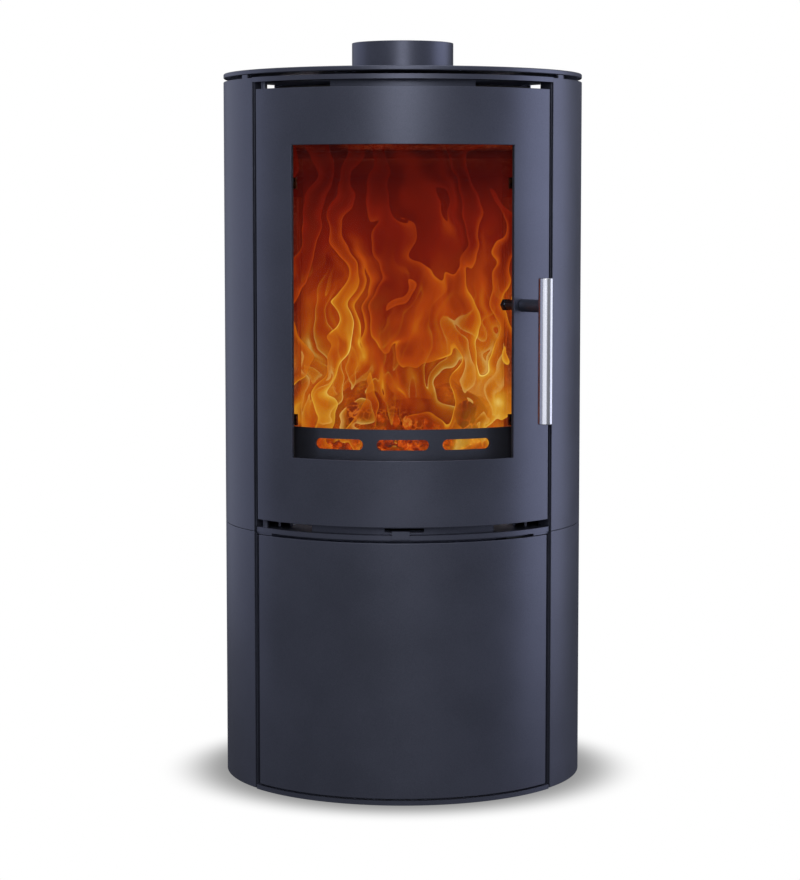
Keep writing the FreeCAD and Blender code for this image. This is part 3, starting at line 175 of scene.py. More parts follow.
class StoveStage(bpy.types.PropertyGroup):
    camera_distance: size("Camera distance", 3375.1, "Camera in front of the stove's axis")
    camera_height: size("Camera height", 746.7, "Camera above the floor")
    camera_side: size("Camera side", -3.5, "Camera to the right of the stove's axis")
    camera_pitch: FloatProperty(name="Pitch", default=math.radians(5.2), subtype="ANGLE", unit="ROTATION",
                                description="Camera tipped down")
    lens: FloatProperty(name="Lens", default=104.17, description="Focal length, millimetres")
    floor: size("Floor", 6000, "Half width of the floor")


# Materials ----------------------------------------------------------

KINDS = ("ShaderNode", "GeometryNode", "FunctionNode", "")


def add(tree, kind, *values, sockets=None, stops=(), **options):
    """Adds a node.  Values fill its sockets in order.  Options with a capital, and those in sockets,
    go to the socket of that name or number; the others are settings.  Stops are a ramp's.  A node
    given as a value stands for its first output, and None leaves a socket alone."""
    node = tree.nodes.new(next(start + kind for start in KINDS if hasattr(bpy.types, start + kind)))
    sources = dict(enumerate(values)) | (sockets or {})
    for name, option in options.items():
        if name[0].isupper():
            sources[name.replace("_", " ")] = option
        else:
            setattr(node, name, option)
    for socket, source in sources.items():
        if isinstance(source, bpy.types.Node):
            source = source.outputs[0]
        if isinstance(source, bpy.types.NodeSocket):
            tree.links.new(source, node.inputs[socket])
        elif source is not None:
            node.inputs[socket].default_value = source
    for place, (position, shade) in enumerate(stops):
        elements = node.color_ramp.elements
        element = elements[place] if place < len(elements) else elements.new(1)
        element.position = position
        element.color = (*(linear(shade) if isinstance(shade, str) else shade), 1)
    return node


def new_material(name):
    """An empty material, the function that adds its nodes, and the object's own coordinates."""
    material = bpy.data.materials.new(name)
    material.use_nodes = True
    material.node_tree.nodes.clear()
    node = partial(add, material.node_tree)
    return material, node, node("TexCoord").outputs["Object"]


def surface(material, node, **inputs):
    """Ends a material in one shader with those inputs."""
    node("OutputMaterial", node("BsdfPrincipled", **inputs))
    return material


def pitch(length):
    """A pattern's scale for features of that many millimetres."""
    return 1 / (length * MM)


def shaded(tone, share):
    """A colour made lighter or darker."""
    return tuple(channel * share for channel in tone)


def stove_paint(colours):
    """Sprayed high-temperature silicone paint with metallic pigment: a satin blue-grey that holds
    soft, wide highlights, with a fine sparkle and a faint orange-peel skin."""
    material, node, place = new_material("stove_paint_metallic_satin")
    tone = tuple(colours.paint)
    # Real flake is about 0.05 mm; 1.2 mm is the finest that shows.
    flake = node("TexNoise", place, Scale=pitch(1.2), Detail=1)
    cloud = node("TexNoise", place, Scale=pitch(90), Detail=3)
    shade = node("ValToRGB", node("Mix", 0.5, None, flake, cloud),
                 stops=[(0.38, shaded(tone, 0.90)), (0.5, tone), (0.62, shaded(tone, 1.1))])
    peel = node("TexNoise", place, Scale=pitch(2.5), Detail=2)
    return surface(material, node, Base_Color=shade, Metallic=0.75,
                   Roughness=node("MapRange", cloud, 0, 1, 0.36, 0.44),
                   Normal=node("Bump", Height=peel, Strength=0.12, Distance=0.1 * MM))


def sooty_steel():
    """Painted firebox steel that has been fired: dull brown-black with pale ash dust lying on it."""
    material, node, place = new_material("firebox_steel_sooted")
    dust = node("TexNoise", place, Scale=pitch(25), Detail=6, Roughness=0.65)
    shade = node("ValToRGB", dust, stops=[(0.35, "#1c1816"), (0.55, "#2e2926"), (0.75, "#5b544d")])
    return surface(material, node, Base_Color=shade, Metallic=0.2, Roughness=0.8,
                   Normal=node("Bump", Height=dust, Strength=0.3, Distance=0.4 * MM))


def brushed_stainless(colours):
    """Stainless bar brushed lengthwise: bright upright bands with fine dark draw lines."""
    material, node, place = new_material("stainless_steel_brushed")
    # Lines are really about 0.1 mm apart; 0.5 mm is the finest that shows.
    stretch = node("Mapping", place, Scale=(pitch(0.5), pitch(0.5), pitch(60)))
    lines = node("TexNoise", stretch, Scale=1, Detail=3)
    tone = tuple(colours.stainless)
    return surface(material, node, Metallic=1,
                   Base_Color=node("ValToRGB", lines, stops=[(0.3, shaded(tone, 0.82)), (0.7, tone)]),
                   Roughness=node("MapRange", lines, 0, 1, 0.18, 0.27),
                   Normal=node("Bump", Height=lines, Strength=0.15, Distance=0.05 * MM))


def zinc_plate(colours):
    """Zinc plating dulled by heat: a cool grey metal with a faint crystalline spangle."""
    material, node, place = new_material("steel_zinc_plated")
    spangle = node("TexVoronoi", place, Scale=pitch(1.5))
    tone = tuple(colours.zinc)
    return surface(material, node, Metallic=1,
                   Base_Color=node("ValToRGB", spangle, stops=[(0, shaded(tone, 0.8)), (0.8, tone)]),
                   Roughness=node("MapRange", spangle, 0, 1, 0.3, 0.42))


def heat_tinted_steel(colours):
    """Bare spring steel that the fire has tinted: a straw to brown oxide film over grey metal."""
    material, node, place = new_material("spring_steel_heat_tinted")
    film = node("TexNoise", place, Scale=pitch(6), Detail=2)
    return surface(material, node, Metallic=1, Roughness=0.4, Base_Color=node("ValToRGB", film, stops=[
        (0.35, "#5c2413"), (0.55, "#8f4a22"), (0.75, tuple(colours.zinc))]))


def cast_iron(colours):
    """Sand-cast iron: dark, grainy and slightly rusted where it is hottest."""
    material, node, place = new_material("cast_iron_sand_cast")
    grain = node("TexNoise", place, Scale=pitch(1.6), Detail=3)
    rust = node("TexNoise", place, Scale=pitch(30), Detail=5)
    shade = node("ValToRGB", rust, stops=[(0.45, tuple(colours.iron)), (0.7, "#4a2f20")])
    return surface(material, node, Base_Color=shade, Metallic=0.6, Roughness=0.62,
                   Normal=node("Bump", Height=grain, Strength=0.6, Distance=0.3 * MM))


def vermiculite(colours):
    """Pressed vermiculite board: warm tan, flecked with pale mica flakes, smoked dark in clouds."""
    material, node, place = new_material("vermiculite_board_pressed")
    flakes = node("TexVoronoi", place, Scale=pitch(3.5))
    tone = tuple(colours.board)
    fleck = node("ValToRGB", flakes.outputs["Color"],
                 stops=[(0.2, shaded(tone, 0.65)), (0.6, tone), (0.95, "#e4d3a8")])
    smoke = node("TexNoise", place, Scale=pitch(70), Detail=5, Roughness=0.6)
    mixed = node("Mix", node("MapRange", smoke, 0.42, 0.68), data_type="RGBA",
                 sockets={6: fleck, 7: (*colours.soot, 1)})
    return surface(material, node, Base_Color=mixed.outputs[2], Roughness=0.92,
                   Normal=node("Bump", Height=flakes, Strength=0.5, Distance=0.5 * MM))


def ceramic_glass(colours):
    """Clear glass-ceramic sheet: thin enough to see straight through, a trace smoky, sharply glossy."""
    material, node, _ = new_material("ceramic_glass_polished")
    return surface(material, node, Base_Color=(*colours.glass, 1), Roughness=0.03, IOR=1.54, Alpha=0.06)


def seal_rope(colours):
    """Braided glass fibre rubbed with graphite: dark grey, matt, with pale broken fibres."""
    material, node, place = new_material("glass_fibre_rope_braided")
    fibre = node("TexNoise", place, Scale=pitch(0.8), Detail=4)
    tone = tuple(colours.rope)
    shade = node("ValToRGB", fibre, stops=[(0.35, shaded(tone, 0.6)), (0.6, tone), (0.8, "#77746f")])
    return surface(material, node, Base_Color=shade, Roughness=0.95,
                   Normal=node("Bump", Height=fibre, Strength=0.6, Distance=0.2 * MM))


def moulded_plastic(colours):
    """Moulded black nylon: even, with a fine spark-eroded grain."""
    material, node, place = new_material("nylon_moulded_black")
    grain = node("TexNoise", place, Scale=pitch(0.9), Detail=2)
    return surface(material, node, Base_Color=(*colours.plastic, 1),
                   Roughness=node("MapRange", grain, 0, 1, 0.45, 0.62),
                   Normal=node("Bump", Height=grain, Strength=0.3, Distance=0.1 * MM))


def charred_wood():
    """Burning log: black alligatored char whose cracks glow orange, with grey ash in patches."""
    material, node, place = new_material("firewood_charred_glowing")
    # Char splits into blocks of about 10 mm, ragged along the grain.
    rag = node("TexNoise", place, Scale=pitch(9), Detail=3).outputs["Color"]
    ragged = node("VectorMath", place, node("VectorMath", rag, Scale=9 * MM, operation="SCALE"))
    blocks = node("TexVoronoi", ragged, Scale=pitch(10), feature="DISTANCE_TO_EDGE")
    patch = node("TexNoise", place, Scale=pitch(45), Detail=4)
    ash = node("ValToRGB", patch, stops=[(0.4, "#120d0b"), (0.6, "#2c211b"), (0.72, "#8d8379")])
    crack = node("MapRange", blocks, 0, 0.12, 1, 0)
    glow = node("Math", crack, node("MapRange", patch, 0.35, 0.6), operation="MULTIPLY")
    light = node("ValToRGB", glow, stops=[(0.05, (0, 0, 0)), (0.45, "#7a1602"), (0.95, "#e8801c")])
    return surface(material, node, Base_Color=ash, Roughness=0.9, Emission_Color=light, Emission_Strength=1,
                   Normal=node("Bump", Height=blocks, Strength=0.8, Distance=2 * MM))


def glowing_coal():
    """Coals: crusted black and ash grey on top, burning orange to yellow in the folds."""
    material, node, place = new_material("wood_embers_glowing")
    crust = node("TexNoise", place, Scale=pitch(16), Detail=4, Roughness=0.6)
    light = node("ValToRGB", crust,
                 stops=[(0.30, "#ffb040"), (0.40, "#cf4e0b"), (0.52, "#6a1402"), (0.64, (0, 0, 0))])
    ash = node("ValToRGB", crust, stops=[(0.45, "#1a100c"), (0.7, "#6a625b")])
    return surface(material, node, Base_Color=ash, Roughness=0.95,
                   Emission_Color=light, Emission_Strength=1.1,
                   Normal=node("Bump", Height=crust, Strength=0.7, Distance=2 * MM))


def flame(name, seed, fineness, density):
    """Wood flame: see-through sheets of glowing gas, orange low down and dark red above, each fading
    away from one bright edge.  Reads the curtain's own map, metres across and above the embers."""
    material, node, _ = new_material(name)
    parts = node("SeparateXYZ", node("UVMap", uv_map="flame")).outputs
    layer = node("CombineXYZ", parts["X"], parts["Y"], seed)
    drift = node("TexNoise", layer, Scale=pitch(85), Detail=2).outputs["Color"]
    centred = node("VectorMath", drift, (0.5, 0.5, 0.5), operation="SUBTRACT")
    moved = node("VectorMath", layer, node("VectorMath", centred, Scale=0.11, operation="SCALE"))
    shift = node("SeparateXYZ", moved).outputs
    above = node("Math", node("Math", shift["Y"], 0.03), 0.002, operation="MAXIMUM")
    # Flames draw out as they rise, so the pattern's height goes with a power of the real one.
    drawn_out = node("Math", above, 0.4, operation="POWER")
    upward = node("Math", drawn_out, 0.24, operation="MULTIPLY")
    tall = node("CombineXYZ", shift["X"], upward, seed)
    # The sheets: four levels of one noise, each rising slowly to its bright edge.
    folds = node("TexNoise", tall, Scale=pitch(fineness), Detail=0.6, Roughness=0.4)
    sheet = node("Math", node("Math", folds, 4, operation="MULTIPLY"), operation="FRACT")
    veil = node("Math", sheet, 2.2, operation="POWER")
    edge = node("MapRange", sheet, 0.91, 0.99, interpolation_type="SMOOTHSTEP")
    breaks = node("TexNoise", moved, Scale=pitch(48), Detail=1)
    shown = node("MapRange", breaks, 0.42, 0.62, interpolation_type="SMOOTHSTEP")
    whole = node("Math", edge, shown, operation="MULTIPLY")
    # The heat: tongues of different height, lower over the middle of the fire.
    tongues = node("TexNoise", node("Mapping", moved, Scale=(1, 0.25, 1)), Scale=pitch(70), Detail=1)
    height = node("MapRange", parts["Y"], 0.10, 0.365, 1, 0)
    reach = node("MapRange", tongues, 0.35, 0.65, 0.55, 1.25)
    across = node("Math", parts["X"], seed, operation="SUBTRACT")
    aside = node("Math", across, operation="ABSOLUTE")
    gap = node("MapRange", aside, 0.015, 0.075, 0.72, 1.06, interpolation_type="SMOOTHSTEP")
    stretched = node("Math", reach, gap, operation="MULTIPLY")
    heat = node("Math", height, stretched, operation="MULTIPLY")
    thread = node("Math", whole, height, operation="MULTIPLY", use_clamp=True)
    # The brightness, from dark red through orange to straw.
    warm = node("Math", heat, 0.5, operation="MULTIPLY")
    wisps = node("TexNoise", tall, Scale=pitch(9), Detail=3, Roughness=0.6)
    wispy = node("Math", wisps, 0.30, -0.15, operation="MULTIPLY_ADD")
    lit = node("Math", veil, 0.42, wispy, operation="MULTIPLY_ADD")
    lines = node("Math", thread, 0.34, lit, operation="MULTIPLY_ADD")
    bright = node("Math", heat, 0.85, 0.15, operation="MULTIPLY_ADD")
    light = node("ValToRGB", node("Math", lines, bright, warm, operation="MULTIPLY_ADD"), stops=[
        (0, "#430301"), (0.18, "#7a1706"), (0.38, "#b1420b"), (0.58, "#cc7013"), (0.78, "#dfa02c"),
        (1, "#f3cd68")])
    # The cover, thicker low down and along the bright edges.
    haze = node("Math", height, -0.3, density + 0.3, operation="MULTIPLY_ADD")
    solid = node("Math", veil, 0.42, haze, operation="MULTIPLY_ADD")
    drawn = node("Math", thread, 0.4, solid, operation="MULTIPLY_ADD")
    fade = node("Attribute", attribute_name="fade").outputs["Fac"]
    cover = node("Math", drawn, fade, operation="MULTIPLY", use_clamp=True)
    return surface(material, node, Base_Color=(0, 0, 0, 1), Roughness=1, Specular_IOR_Level=0,
                   Emission_Color=light, Emission_Strength=1, Alpha=cover)


# Meshes -------------------------------------------------------------

def around(radius, angle, level, centre=(0, 0)):
    """The point at that radius, direction and height round an upright axis."""
    turn = math.radians(angle)
    return Vector((centre[0] + radius * math.sin(turn), centre[1] - radius * math.cos(turn), level))


def between(cuts, step):
    """The cut values, with even steps filled in between them."""
    filled = []
    for start, stop in zip(cuts, cuts[1:]):
        count = max(1, math.ceil((stop - start) / step))
        filled += [start + (stop - start) * index / count for index in range(count)]
    return filled + [cuts[-1]]


def new_piece(name, points, faces, finish_name, edges=()):
    """An object in the scene from points and faces, in one finish."""
    mesh = bpy.data.meshes.new(name)
    mesh.from_pydata(points, edges, faces)
    if finish_name:
        mesh.materials.append(FINISHES[finish_name])
    mesh.shade_smooth()
    piece = bpy.data.objects.new(name, mesh)
    bpy.context.scene.collection.objects.link(piece)
    return piece


def settle(piece):
    """Makes the result of a piece's modifiers its plain mesh."""
    bpy.context.view_layer.update()
    graph = bpy.context.evaluated_depsgraph_get()
    mesh = bpy.data.meshes.new_from_object(piece.evaluated_get(graph), preserve_all_data_layers=True,
                                           depsgraph=graph)
    mesh.name = piece.name
    piece.modifiers.clear()
    piece.data = mesh
    return piece


def round_edges(piece, width, segments=3):
    """Rounds the sharp edges and keeps the faces beside them flat."""
    bevel = piece.modifiers.new("edges", "BEVEL")
    bevel.width = width
    bevel.segments = segments
    bevel.limit_method = "ANGLE"
    bevel.angle_limit = math.radians(40)
    bevel.harden_normals = True
    return settle(piece)


def curved_plate(inner, outer, angles, levels, holes, step):
    """Points and faces of a plate bent round the body, without the oblongs given as
    (first angle, last angle, low, high)."""
    columns = between(sorted({*angles, *(a for h in holes for a in h[:2])}), step)
    rows = sorted({*levels, *(z for h in holes for z in h[2:])})

    def solid(i, j):
        if not (0 <= i < len(columns) - 1 and 0 <= j < len(rows) - 1):
            return False
        angle, level = (columns[i] + columns[i + 1]) / 2, (rows[j] + rows[j + 1]) / 2
        return not any(a < angle < b and c < level < d for a, b, c, d in holes)

    points, numbers, faces = [], {}, []

    def corner(i, j, radius):
        key = (i, j, radius)
        if key not in numbers:
            numbers[key] = len(points)
            points.append(around(radius, columns[i], rows[j]))
        return numbers[key]

    for i in range(len(columns) - 1):
        for j in range(len(rows) - 1):
            if not solid(i, j):
                continue
            ring = [(i, j), (i + 1, j), (i + 1, j + 1), (i, j + 1)]
            faces.append(tuple(corner(*c, outer) for c in ring))
            faces.append(tuple(corner(*c, inner) for c in reversed(ring)))
            neighbours = [(i, j - 1), (i + 1, j), (i, j + 1), (i - 1, j)]
            for neighbour, first, second in zip(neighbours, ring, ring[1:] + ring[:1]):
                if not solid(*neighbour):
                    faces.append((corner(*first, outer), corner(*first, inner), corner(*second, inner),
                                  corner(*second, outer)))
    return points, faces


def turned(profile, step, centre=(0, 0)):
    """Points and faces of a (radius, height) outline, anticlockwise seen with z up, swept once round
    an upright axis.  Points on the axis become poles."""
    count = round(360 / step)
    points, numbers = [], {}
    for j, (radius, level) in enumerate(profile):
        for i in range(count):
            if radius > 0 or i == 0:
                points.append(around(radius, 360 * i / count, level, centre))
            numbers[i, j] = len(points) - 1
    faces = []
    for i in range(count):
        for j in range(len(profile)):
            after, above = (i + 1) % count, (j + 1) % len(profile)
            ring = [numbers[i, j], numbers[after, j], numbers[after, above], numbers[i, above]]
            corners = list(dict.fromkeys(ring))
            if len(corners) > 2:
                faces.append(tuple(corners))
    return points, faces


def join(*shapes):
    """Several (points, faces) as one."""
    points, faces = [], []
    for more_points, more_faces in shapes:
        first = len(points)
        points += more_points
        faces += [tuple(first + corner for corner in face) for face in more_faces]
    return points, faces


def finish(piece, body, slot, *nodes):
    """Sets a finished piece on its body, in place of its CAD nodes."""
    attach(piece, body)
    if nodes:
        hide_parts(*nodes)
    return piece


# Geometry node trees ------------------------------------------------

NUMBER, WHOLE, VECTOR = "NodeSocketFloat", "NodeSocketInt", "NodeSocketVector"


def new_tree(name, **inputs):
    """An empty tree with a geometry and the named inputs, the function that adds its nodes, and its
    inputs' outlets."""
    tree = bpy.data.node_groups.new(name, "GeometryNodeTree")
    kinds = {"Geometry": "NodeSocketGeometry", **inputs, "Finish": "NodeSocketMaterial"}
    for label, kind in kinds.items():
        tree.interface.new_socket(label.replace("_", " "), in_out="INPUT", socket_type=kind)
    tree.interface.new_socket("Geometry", in_out="OUTPUT", socket_type="NodeSocketGeometry")
    node = partial(add, tree)
    return tree, node, node("NodeGroupInput").outputs


def end_tree(tree, node, geometry, given):
    """Makes the tree's result real mesh in its finish."""
    real = node("RealizeInstances", geometry)
    node("NodeGroupOutput", node("SetMaterial", real, Material=given["Finish"]))
    return tree


def run_tree(piece, tree, finish_name, **values):
    """Runs a tree on a piece with its inputs by name, and keeps the result as its plain mesh."""
    modifier = piece.modifiers.new(tree.name, "NODES")
    modifier.node_group = tree
    values["Finish"] = FINISHES[finish_name]
    for item in tree.interface.items_tree:
        name = item.name.replace(" ", "_")
        if item.item_type == "SOCKET" and item.in_out == "INPUT" and name in values:
            modifier[item.identifier] = values[name]
    return settle(piece)


def ring_tree():
    """Copies of one piece in columns round the body's axis and in rows up it."""
    tree, node, given = new_tree("repeat_round_and_up", Columns=WHOLE, First_Angle=NUMBER, Angle_Step=NUMBER,
                                 Radius=NUMBER, Rows=WHOLE, First_Level=NUMBER, Level_Step=NUMBER)
    index = node("InputIndex")
    total = node("Math", given["Columns"], given["Rows"], operation="MULTIPLY")
    column = node("Math", index, given["Columns"], operation="MODULO")
    share = node("Math", index, given["Columns"], operation="DIVIDE")
    row = node("Math", share, operation="FLOOR")
    angle = node("Math", column, given["Angle Step"], given["First Angle"], operation="MULTIPLY_ADD")
    level = node("Math", row, given["Level Step"], given["First Level"], operation="MULTIPLY_ADD")
    out = node("CombineXYZ", Y=node("Math", given["Radius"], -1, operation="MULTIPLY"))
    swung = node("VectorRotate", out, Angle=angle, rotation_type="Z_AXIS")
    place = node("VectorMath", swung, node("CombineXYZ", Z=level))
    rotation = node("EulerToRotation", node("CombineXYZ", Z=angle))
    copies = node("InstanceOnPoints", node("Points", total, place), Instance=given["Geometry"],
                  Rotation=rotation)
    return end_tree(tree, node, copies, given)


def braid_tree():
    """A round braid along a closed path round the body: strands wound both ways over a core."""
    tree, node, given = new_tree("braided_rope", Radius=NUMBER, Strand_Radius=NUMBER, Strands=WHOLE,
                                 Turns=NUMBER, Spacing=NUMBER)
    path = node("MeshToCurve", given["Geometry"])
    even = node("ResampleCurve", Curve=path, Length=given["Spacing"], mode="LENGTH")
    strands = node("DuplicateElements", Geometry=even, Amount=given["Strands"], domain="SPLINE")
    number = strands.outputs["Duplicate Index"]
    # Every other strand winds the other way.
    odd = node("Math", number, 2, operation="MODULO")
    way = node("Math", odd, -2, 1, operation="MULTIPLY_ADD")
    start = node("Math", number, given["Strands"], operation="DIVIDE")
    along = node("SplineParameter").outputs["Factor"]
    wound = node("Math", along, given["Turns"], operation="MULTIPLY")
    turns = node("Math", wound, way, start, operation="MULTIPLY_ADD")
    angle = node("Math", turns, 2 * math.pi, operation="MULTIPLY")
    # Strands pass over and under one another where they cross.
    crossings = node("Math", angle, given["Strands"], operation="MULTIPLY")
    half = node("Math", crossings, 0.5, operation="MULTIPLY")
    weave = node("Math", node("Math", odd, math.pi, half, operation="MULTIPLY_ADD"), operation="COSINE")
    seat = node("Math", given["Radius"], given["Strand Radius"], operation="SUBTRACT")
    swell = node("Math", given["Strand Radius"], 0.35, operation="MULTIPLY")
    inset = node("Math", seat, swell, operation="SUBTRACT")
    reach = node("Math", weave, swell, inset, operation="MULTIPLY_ADD")
    place = node("SeparateXYZ", node("InputPosition")).outputs
    outward = node("VectorMath", node("CombineXYZ", place["X"], place["Y"]), operation="NORMALIZE")
    across = node("VectorMath", node("InputTangent"), outward, operation="CROSS_PRODUCT")
    cosine = node("Math", angle, operation="COSINE")
    sine = node("Math", angle, operation="SINE")
    both = node("VectorMath", node("VectorMath", outward, Scale=cosine, operation="SCALE"),
                node("VectorMath", across, Scale=sine, operation="SCALE"))
    offset = node("VectorMath", both, Scale=reach, operation="SCALE")
    wound_strands = node("SetPosition", Geometry=strands, Offset=offset)
    strand_section = node("CurvePrimitiveCircle", Resolution=6, Radius=given["Strand Radius"])
    strand_mesh = node("CurveToMesh", wound_strands, strand_section)
    core_mesh = node("CurveToMesh", even, node("CurvePrimitiveCircle", Resolution=10, Radius=inset))
    joined = node("JoinGeometry", strand_mesh)
    tree.links.new(core_mesh.outputs[0], joined.inputs[0])
    return end_tree(tree, node, joined, given)


def scatter_tree():
    """Copies of one lump, turned and sized at random, heaped on a low mound."""
    tree, node, given = new_tree("scattered_heap", Count=WHOLE, Low=VECTOR, High=VECTOR, Mound=NUMBER,
                                 Seed=WHOLE)
    draw = {"ID": node("InputIndex"), "Seed": given["Seed"], "data_type": "FLOAT_VECTOR"}
    spot = node("RandomValue", Min=given["Low"], Max=given["High"], **draw)
    middle = node("Mix", 0.5, sockets={4: given["Low"], 5: given["High"]}, data_type="VECTOR").outputs[1]
    from_middle = node("VectorMath", spot, middle, operation="SUBTRACT")
    span = node("VectorMath", given["High"], given["Low"], operation="SUBTRACT")
    share = node("VectorMath", from_middle, span, operation="DIVIDE")
    level_share = node("VectorMath", share, (1, 1, 0), operation="MULTIPLY")
    away = node("VectorMath", level_share, operation="LENGTH").outputs["Value"]
    fall = node("MapRange", away, 0.1, 0.65, 1, 0, interpolation_type="SMOOTHSTEP")
    lift = node("CombineXYZ", Z=node("Math", fall, given["Mound"], operation="MULTIPLY"))
    points = node("Points", given["Count"], node("VectorMath", spot, lift))
    turn = node("RandomValue", Min=(0, 0, 0), Max=(6.28, 6.28, 6.28), **draw)
    scale = node("RandomValue", Min=(0.5, 0.5, 0.45), Max=(1.7, 1.2, 1.0), **draw)
    copies = node("InstanceOnPoints", points, Instance=given["Geometry"],
                  Rotation=node("EulerToRotation", turn), Scale=scale)
    return end_tree(tree, node, copies, given)


# Finishes by name ---------------------------------------------------

FINISHES = {}
FINISH_OF_NODE = {node: name for name, nodes in {
    "soot": ("firebox_wrap", "firebox_roof", "ash_floor", "hearth_plate", "baffle_bars", "ash_pan",
             "airwash_plate", "heat_shield"),
    "board": ("brick_left", "brick_right", "brick_rear", "baffle"),
    "iron": ("grate",),
    "tinted": ("glass_clips",),
    "zinc": ("latch_tongue", "latch_spacer", "latch_nut", "base_striker", "handle_bush"),
    "rope": ("glass_gasket", "door_rope"),
    "plastic": ("magnet_catch",),
    "glass": ("glass",),
    "steel": ("handle_bar",),
}.items() for node in nodes}


class STOVE_OT_finishes(bpy.types.Operator):
    """Makes the finishes and puts them on the frame's own pieces"""
    bl_idname = "stove.finishes"
    bl_label = "Finishes"

    def execute(self, context):
        colours = context.scene.stove_colours
        FINISHES.update(
            paint=stove_paint(colours), soot=sooty_steel(), steel=brushed_stainless(colours),
            zinc=zinc_plate(colours), iron=cast_iron(colours), tinted=heat_tinted_steel(colours),
            board=vermiculite(colours), glass=ceramic_glass(colours), rope=seal_rope(colours),
            plastic=moulded_plastic(colours), log=charred_wood(), coal=glowing_coal())
        for name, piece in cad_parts.items():
            for slot in piece.material_slots:
                slot.material = FINISHES[FINISH_OF_NODE.get(name, "paint")]
        return {"FINISHED"}


# Shell --------------------------------------------------------------

def plate_radii(node):
    """Inner and outer radius of a curved plate.  The rear panels lie inside the side panels."""
    sizes = bpy.context.scene.stove_sizes
    if "rear" in node:
        return BODY_RADIUS - sizes.sheet - sizes.rear_sheet, BODY_RADIUS - sizes.sheet
    return BODY_RADIUS - (sizes.skin if "skin" in node else sizes.sheet), BODY_RADIUS


def plate_piece(name, node, body, angles, holes=(), extra=()):
    """A painted plate with rounded edges in place of its CAD node."""
    sizes = bpy.context.scene.stove_sizes
    levels = (low(node).z, high(node).z)
    shape = curved_plate(*plate_radii(node), angles, levels, holes, sizes.facet)
    piece = new_piece(name, *join(shape, *extra), "paint")
    return finish(round_edges(piece, sizes.edge), body, "stove_paint", node)


class STOVE_OT_panels(bpy.types.Operator):
    """Adds the curved side panels of the stove body and of the base"""
    bl_idname = "stove.panels"
    bl_label = "Side panels"

    def execute(self, context):
        sizes = context.scene.stove_sizes
        inside = BODY_RADIUS - sizes.sheet
        fold = math.degrees(sizes.sheet / BODY_RADIUS)
        for node in ("side_panel_right", "side_panel_left", "base_panel_right", "base_panel_left"):
            side = 1 if node.endswith("right") else -1
            box_low, box_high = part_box(node)
            front, rear = angle_at(box_low.y), angle_at(box_high.y)
            flange_levels, gaps = (high("base_floor").z, low("base_lid").z), []
            if node.startswith("side"):
                top = box_high.z - sizes.panel_top_gap
                flange_levels = (high("body_floor").z, top)
                tabs = [tab + half for tab in (sizes.tab_front, sizes.tab_rear)
                        for half in (-sizes.tab / 2, sizes.tab / 2)]
                # The edge is cut away between the panel's ends and the two tabs.
                gaps = [(front, tabs[0]), (tabs[1], tabs[2]), (tabs[3], rear)]
            holes = [(*sorted((side * first, side * last)), top, box_high.z) for first, last in gaps]
            flange = curved_plate(inside - sizes.flange, inside, (side * front, side * (front + fold)),
                                  flange_levels, (), 1)
            plate_piece(node + "_sheet", node, "stove_body", (side * front, side * rear), holes, [flange])
        return {"FINISHED"}


class STOVE_OT_rear(bpy.types.Operator):
    """Adds the vented rear panels"""
    bl_idname = "stove.rear"
    bl_label = "Rear panels"

    def execute(self, context):
        sizes = context.scene.stove_sizes
        for node in ("rear_panel", "base_rear_panel"):
            box_low, box_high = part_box(node)
            front = angle_at(box_low.y, plate_radii(node)[1])
            feet, holes = [box_low.z + sizes.vent_margin], []
            if node == "rear_panel":
                rim = box_high.z - sizes.rear_lip
                feet.append(rim - sizes.vent_margin - sizes.vent_height)
                holes = [(front, 180 - sizes.rear_lip_angle, rim, box_high.z),
                         (180 + sizes.rear_lip_angle, 360 - front, rim, box_high.z)]
            for foot in feet:
                for index in range(sizes.vents):
                    middle = 180 + sizes.vent_pitch * (index - (sizes.vents - 1) / 2)
                    holes.append((middle - sizes.vent_width / 2, middle + sizes.vent_width / 2,
                                  foot, foot + sizes.vent_height))
            plate_piece(node + "_sheet", node, "stove_body", (front, 360 - front), holes)
        return {"FINISHED"}


class STOVE_OT_top(bpy.types.Operator):
    """Adds the round top plate and the flue collar"""
    bl_idname = "stove.top"
    bl_label = "Top plate and collar"

    def execute(self, context):
        sizes = context.scene.stove_sizes
        under, top = low("top_plate").z, high("top_plate").z
        wall = sizes.bore + sizes.collar_wall
        hole = wall + sizes.collar_gap
        rim = turned([(hole, under), (BODY_RADIUS, under), (BODY_RADIUS, top), (hole, top)], sizes.facet)
        plate = round_edges(new_piece("top_plate_turned", *rim, "paint"), sizes.rim, 4)
        finish(plate, "stove_body", "stove_paint", "top_plate")
        box_low, box_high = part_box("flue_spigot")
        foot, flange_top = box_low.z, box_low.z + sizes.collar_flange
        tube = turned([(sizes.bore, foot), (box_high.x, foot), (box_high.x, flange_top), (wall, flange_top),
                       (wall, box_high.z), (sizes.bore, box_high.z)], 2 * sizes.facet)
        collar = round_edges(new_piece("flue_collar", *tube, "paint"), sizes.edge)
        finish(collar, "stove_body", "stove_paint", "flue_spigot")
        return {"FINISHED"}


class STOVE_OT_doors(bpy.types.Operator):
    """Adds the skins of the stove door and of the base door"""
    bl_idname = "stove.doors"
    bl_label = "Door skins"

    def execute(self, context):
        sizes = context.scene.stove_sizes
        glass_low, glass_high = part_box("glass")
        window = half_angle("glass", -glass_low.y) - sizes.glass_side
        opening = (-window, window, glass_low.z + sizes.glass_lap, glass_high.z - sizes.glass_lap)
        for node, body, holes in (("door_skin", "door", [opening]), ("base_door_skin", "base_door", [])):
            half = half_angle(node)
            plate_piece(node + "_plate", node, body, (-half, half), holes)
        return {"FINISHED"}


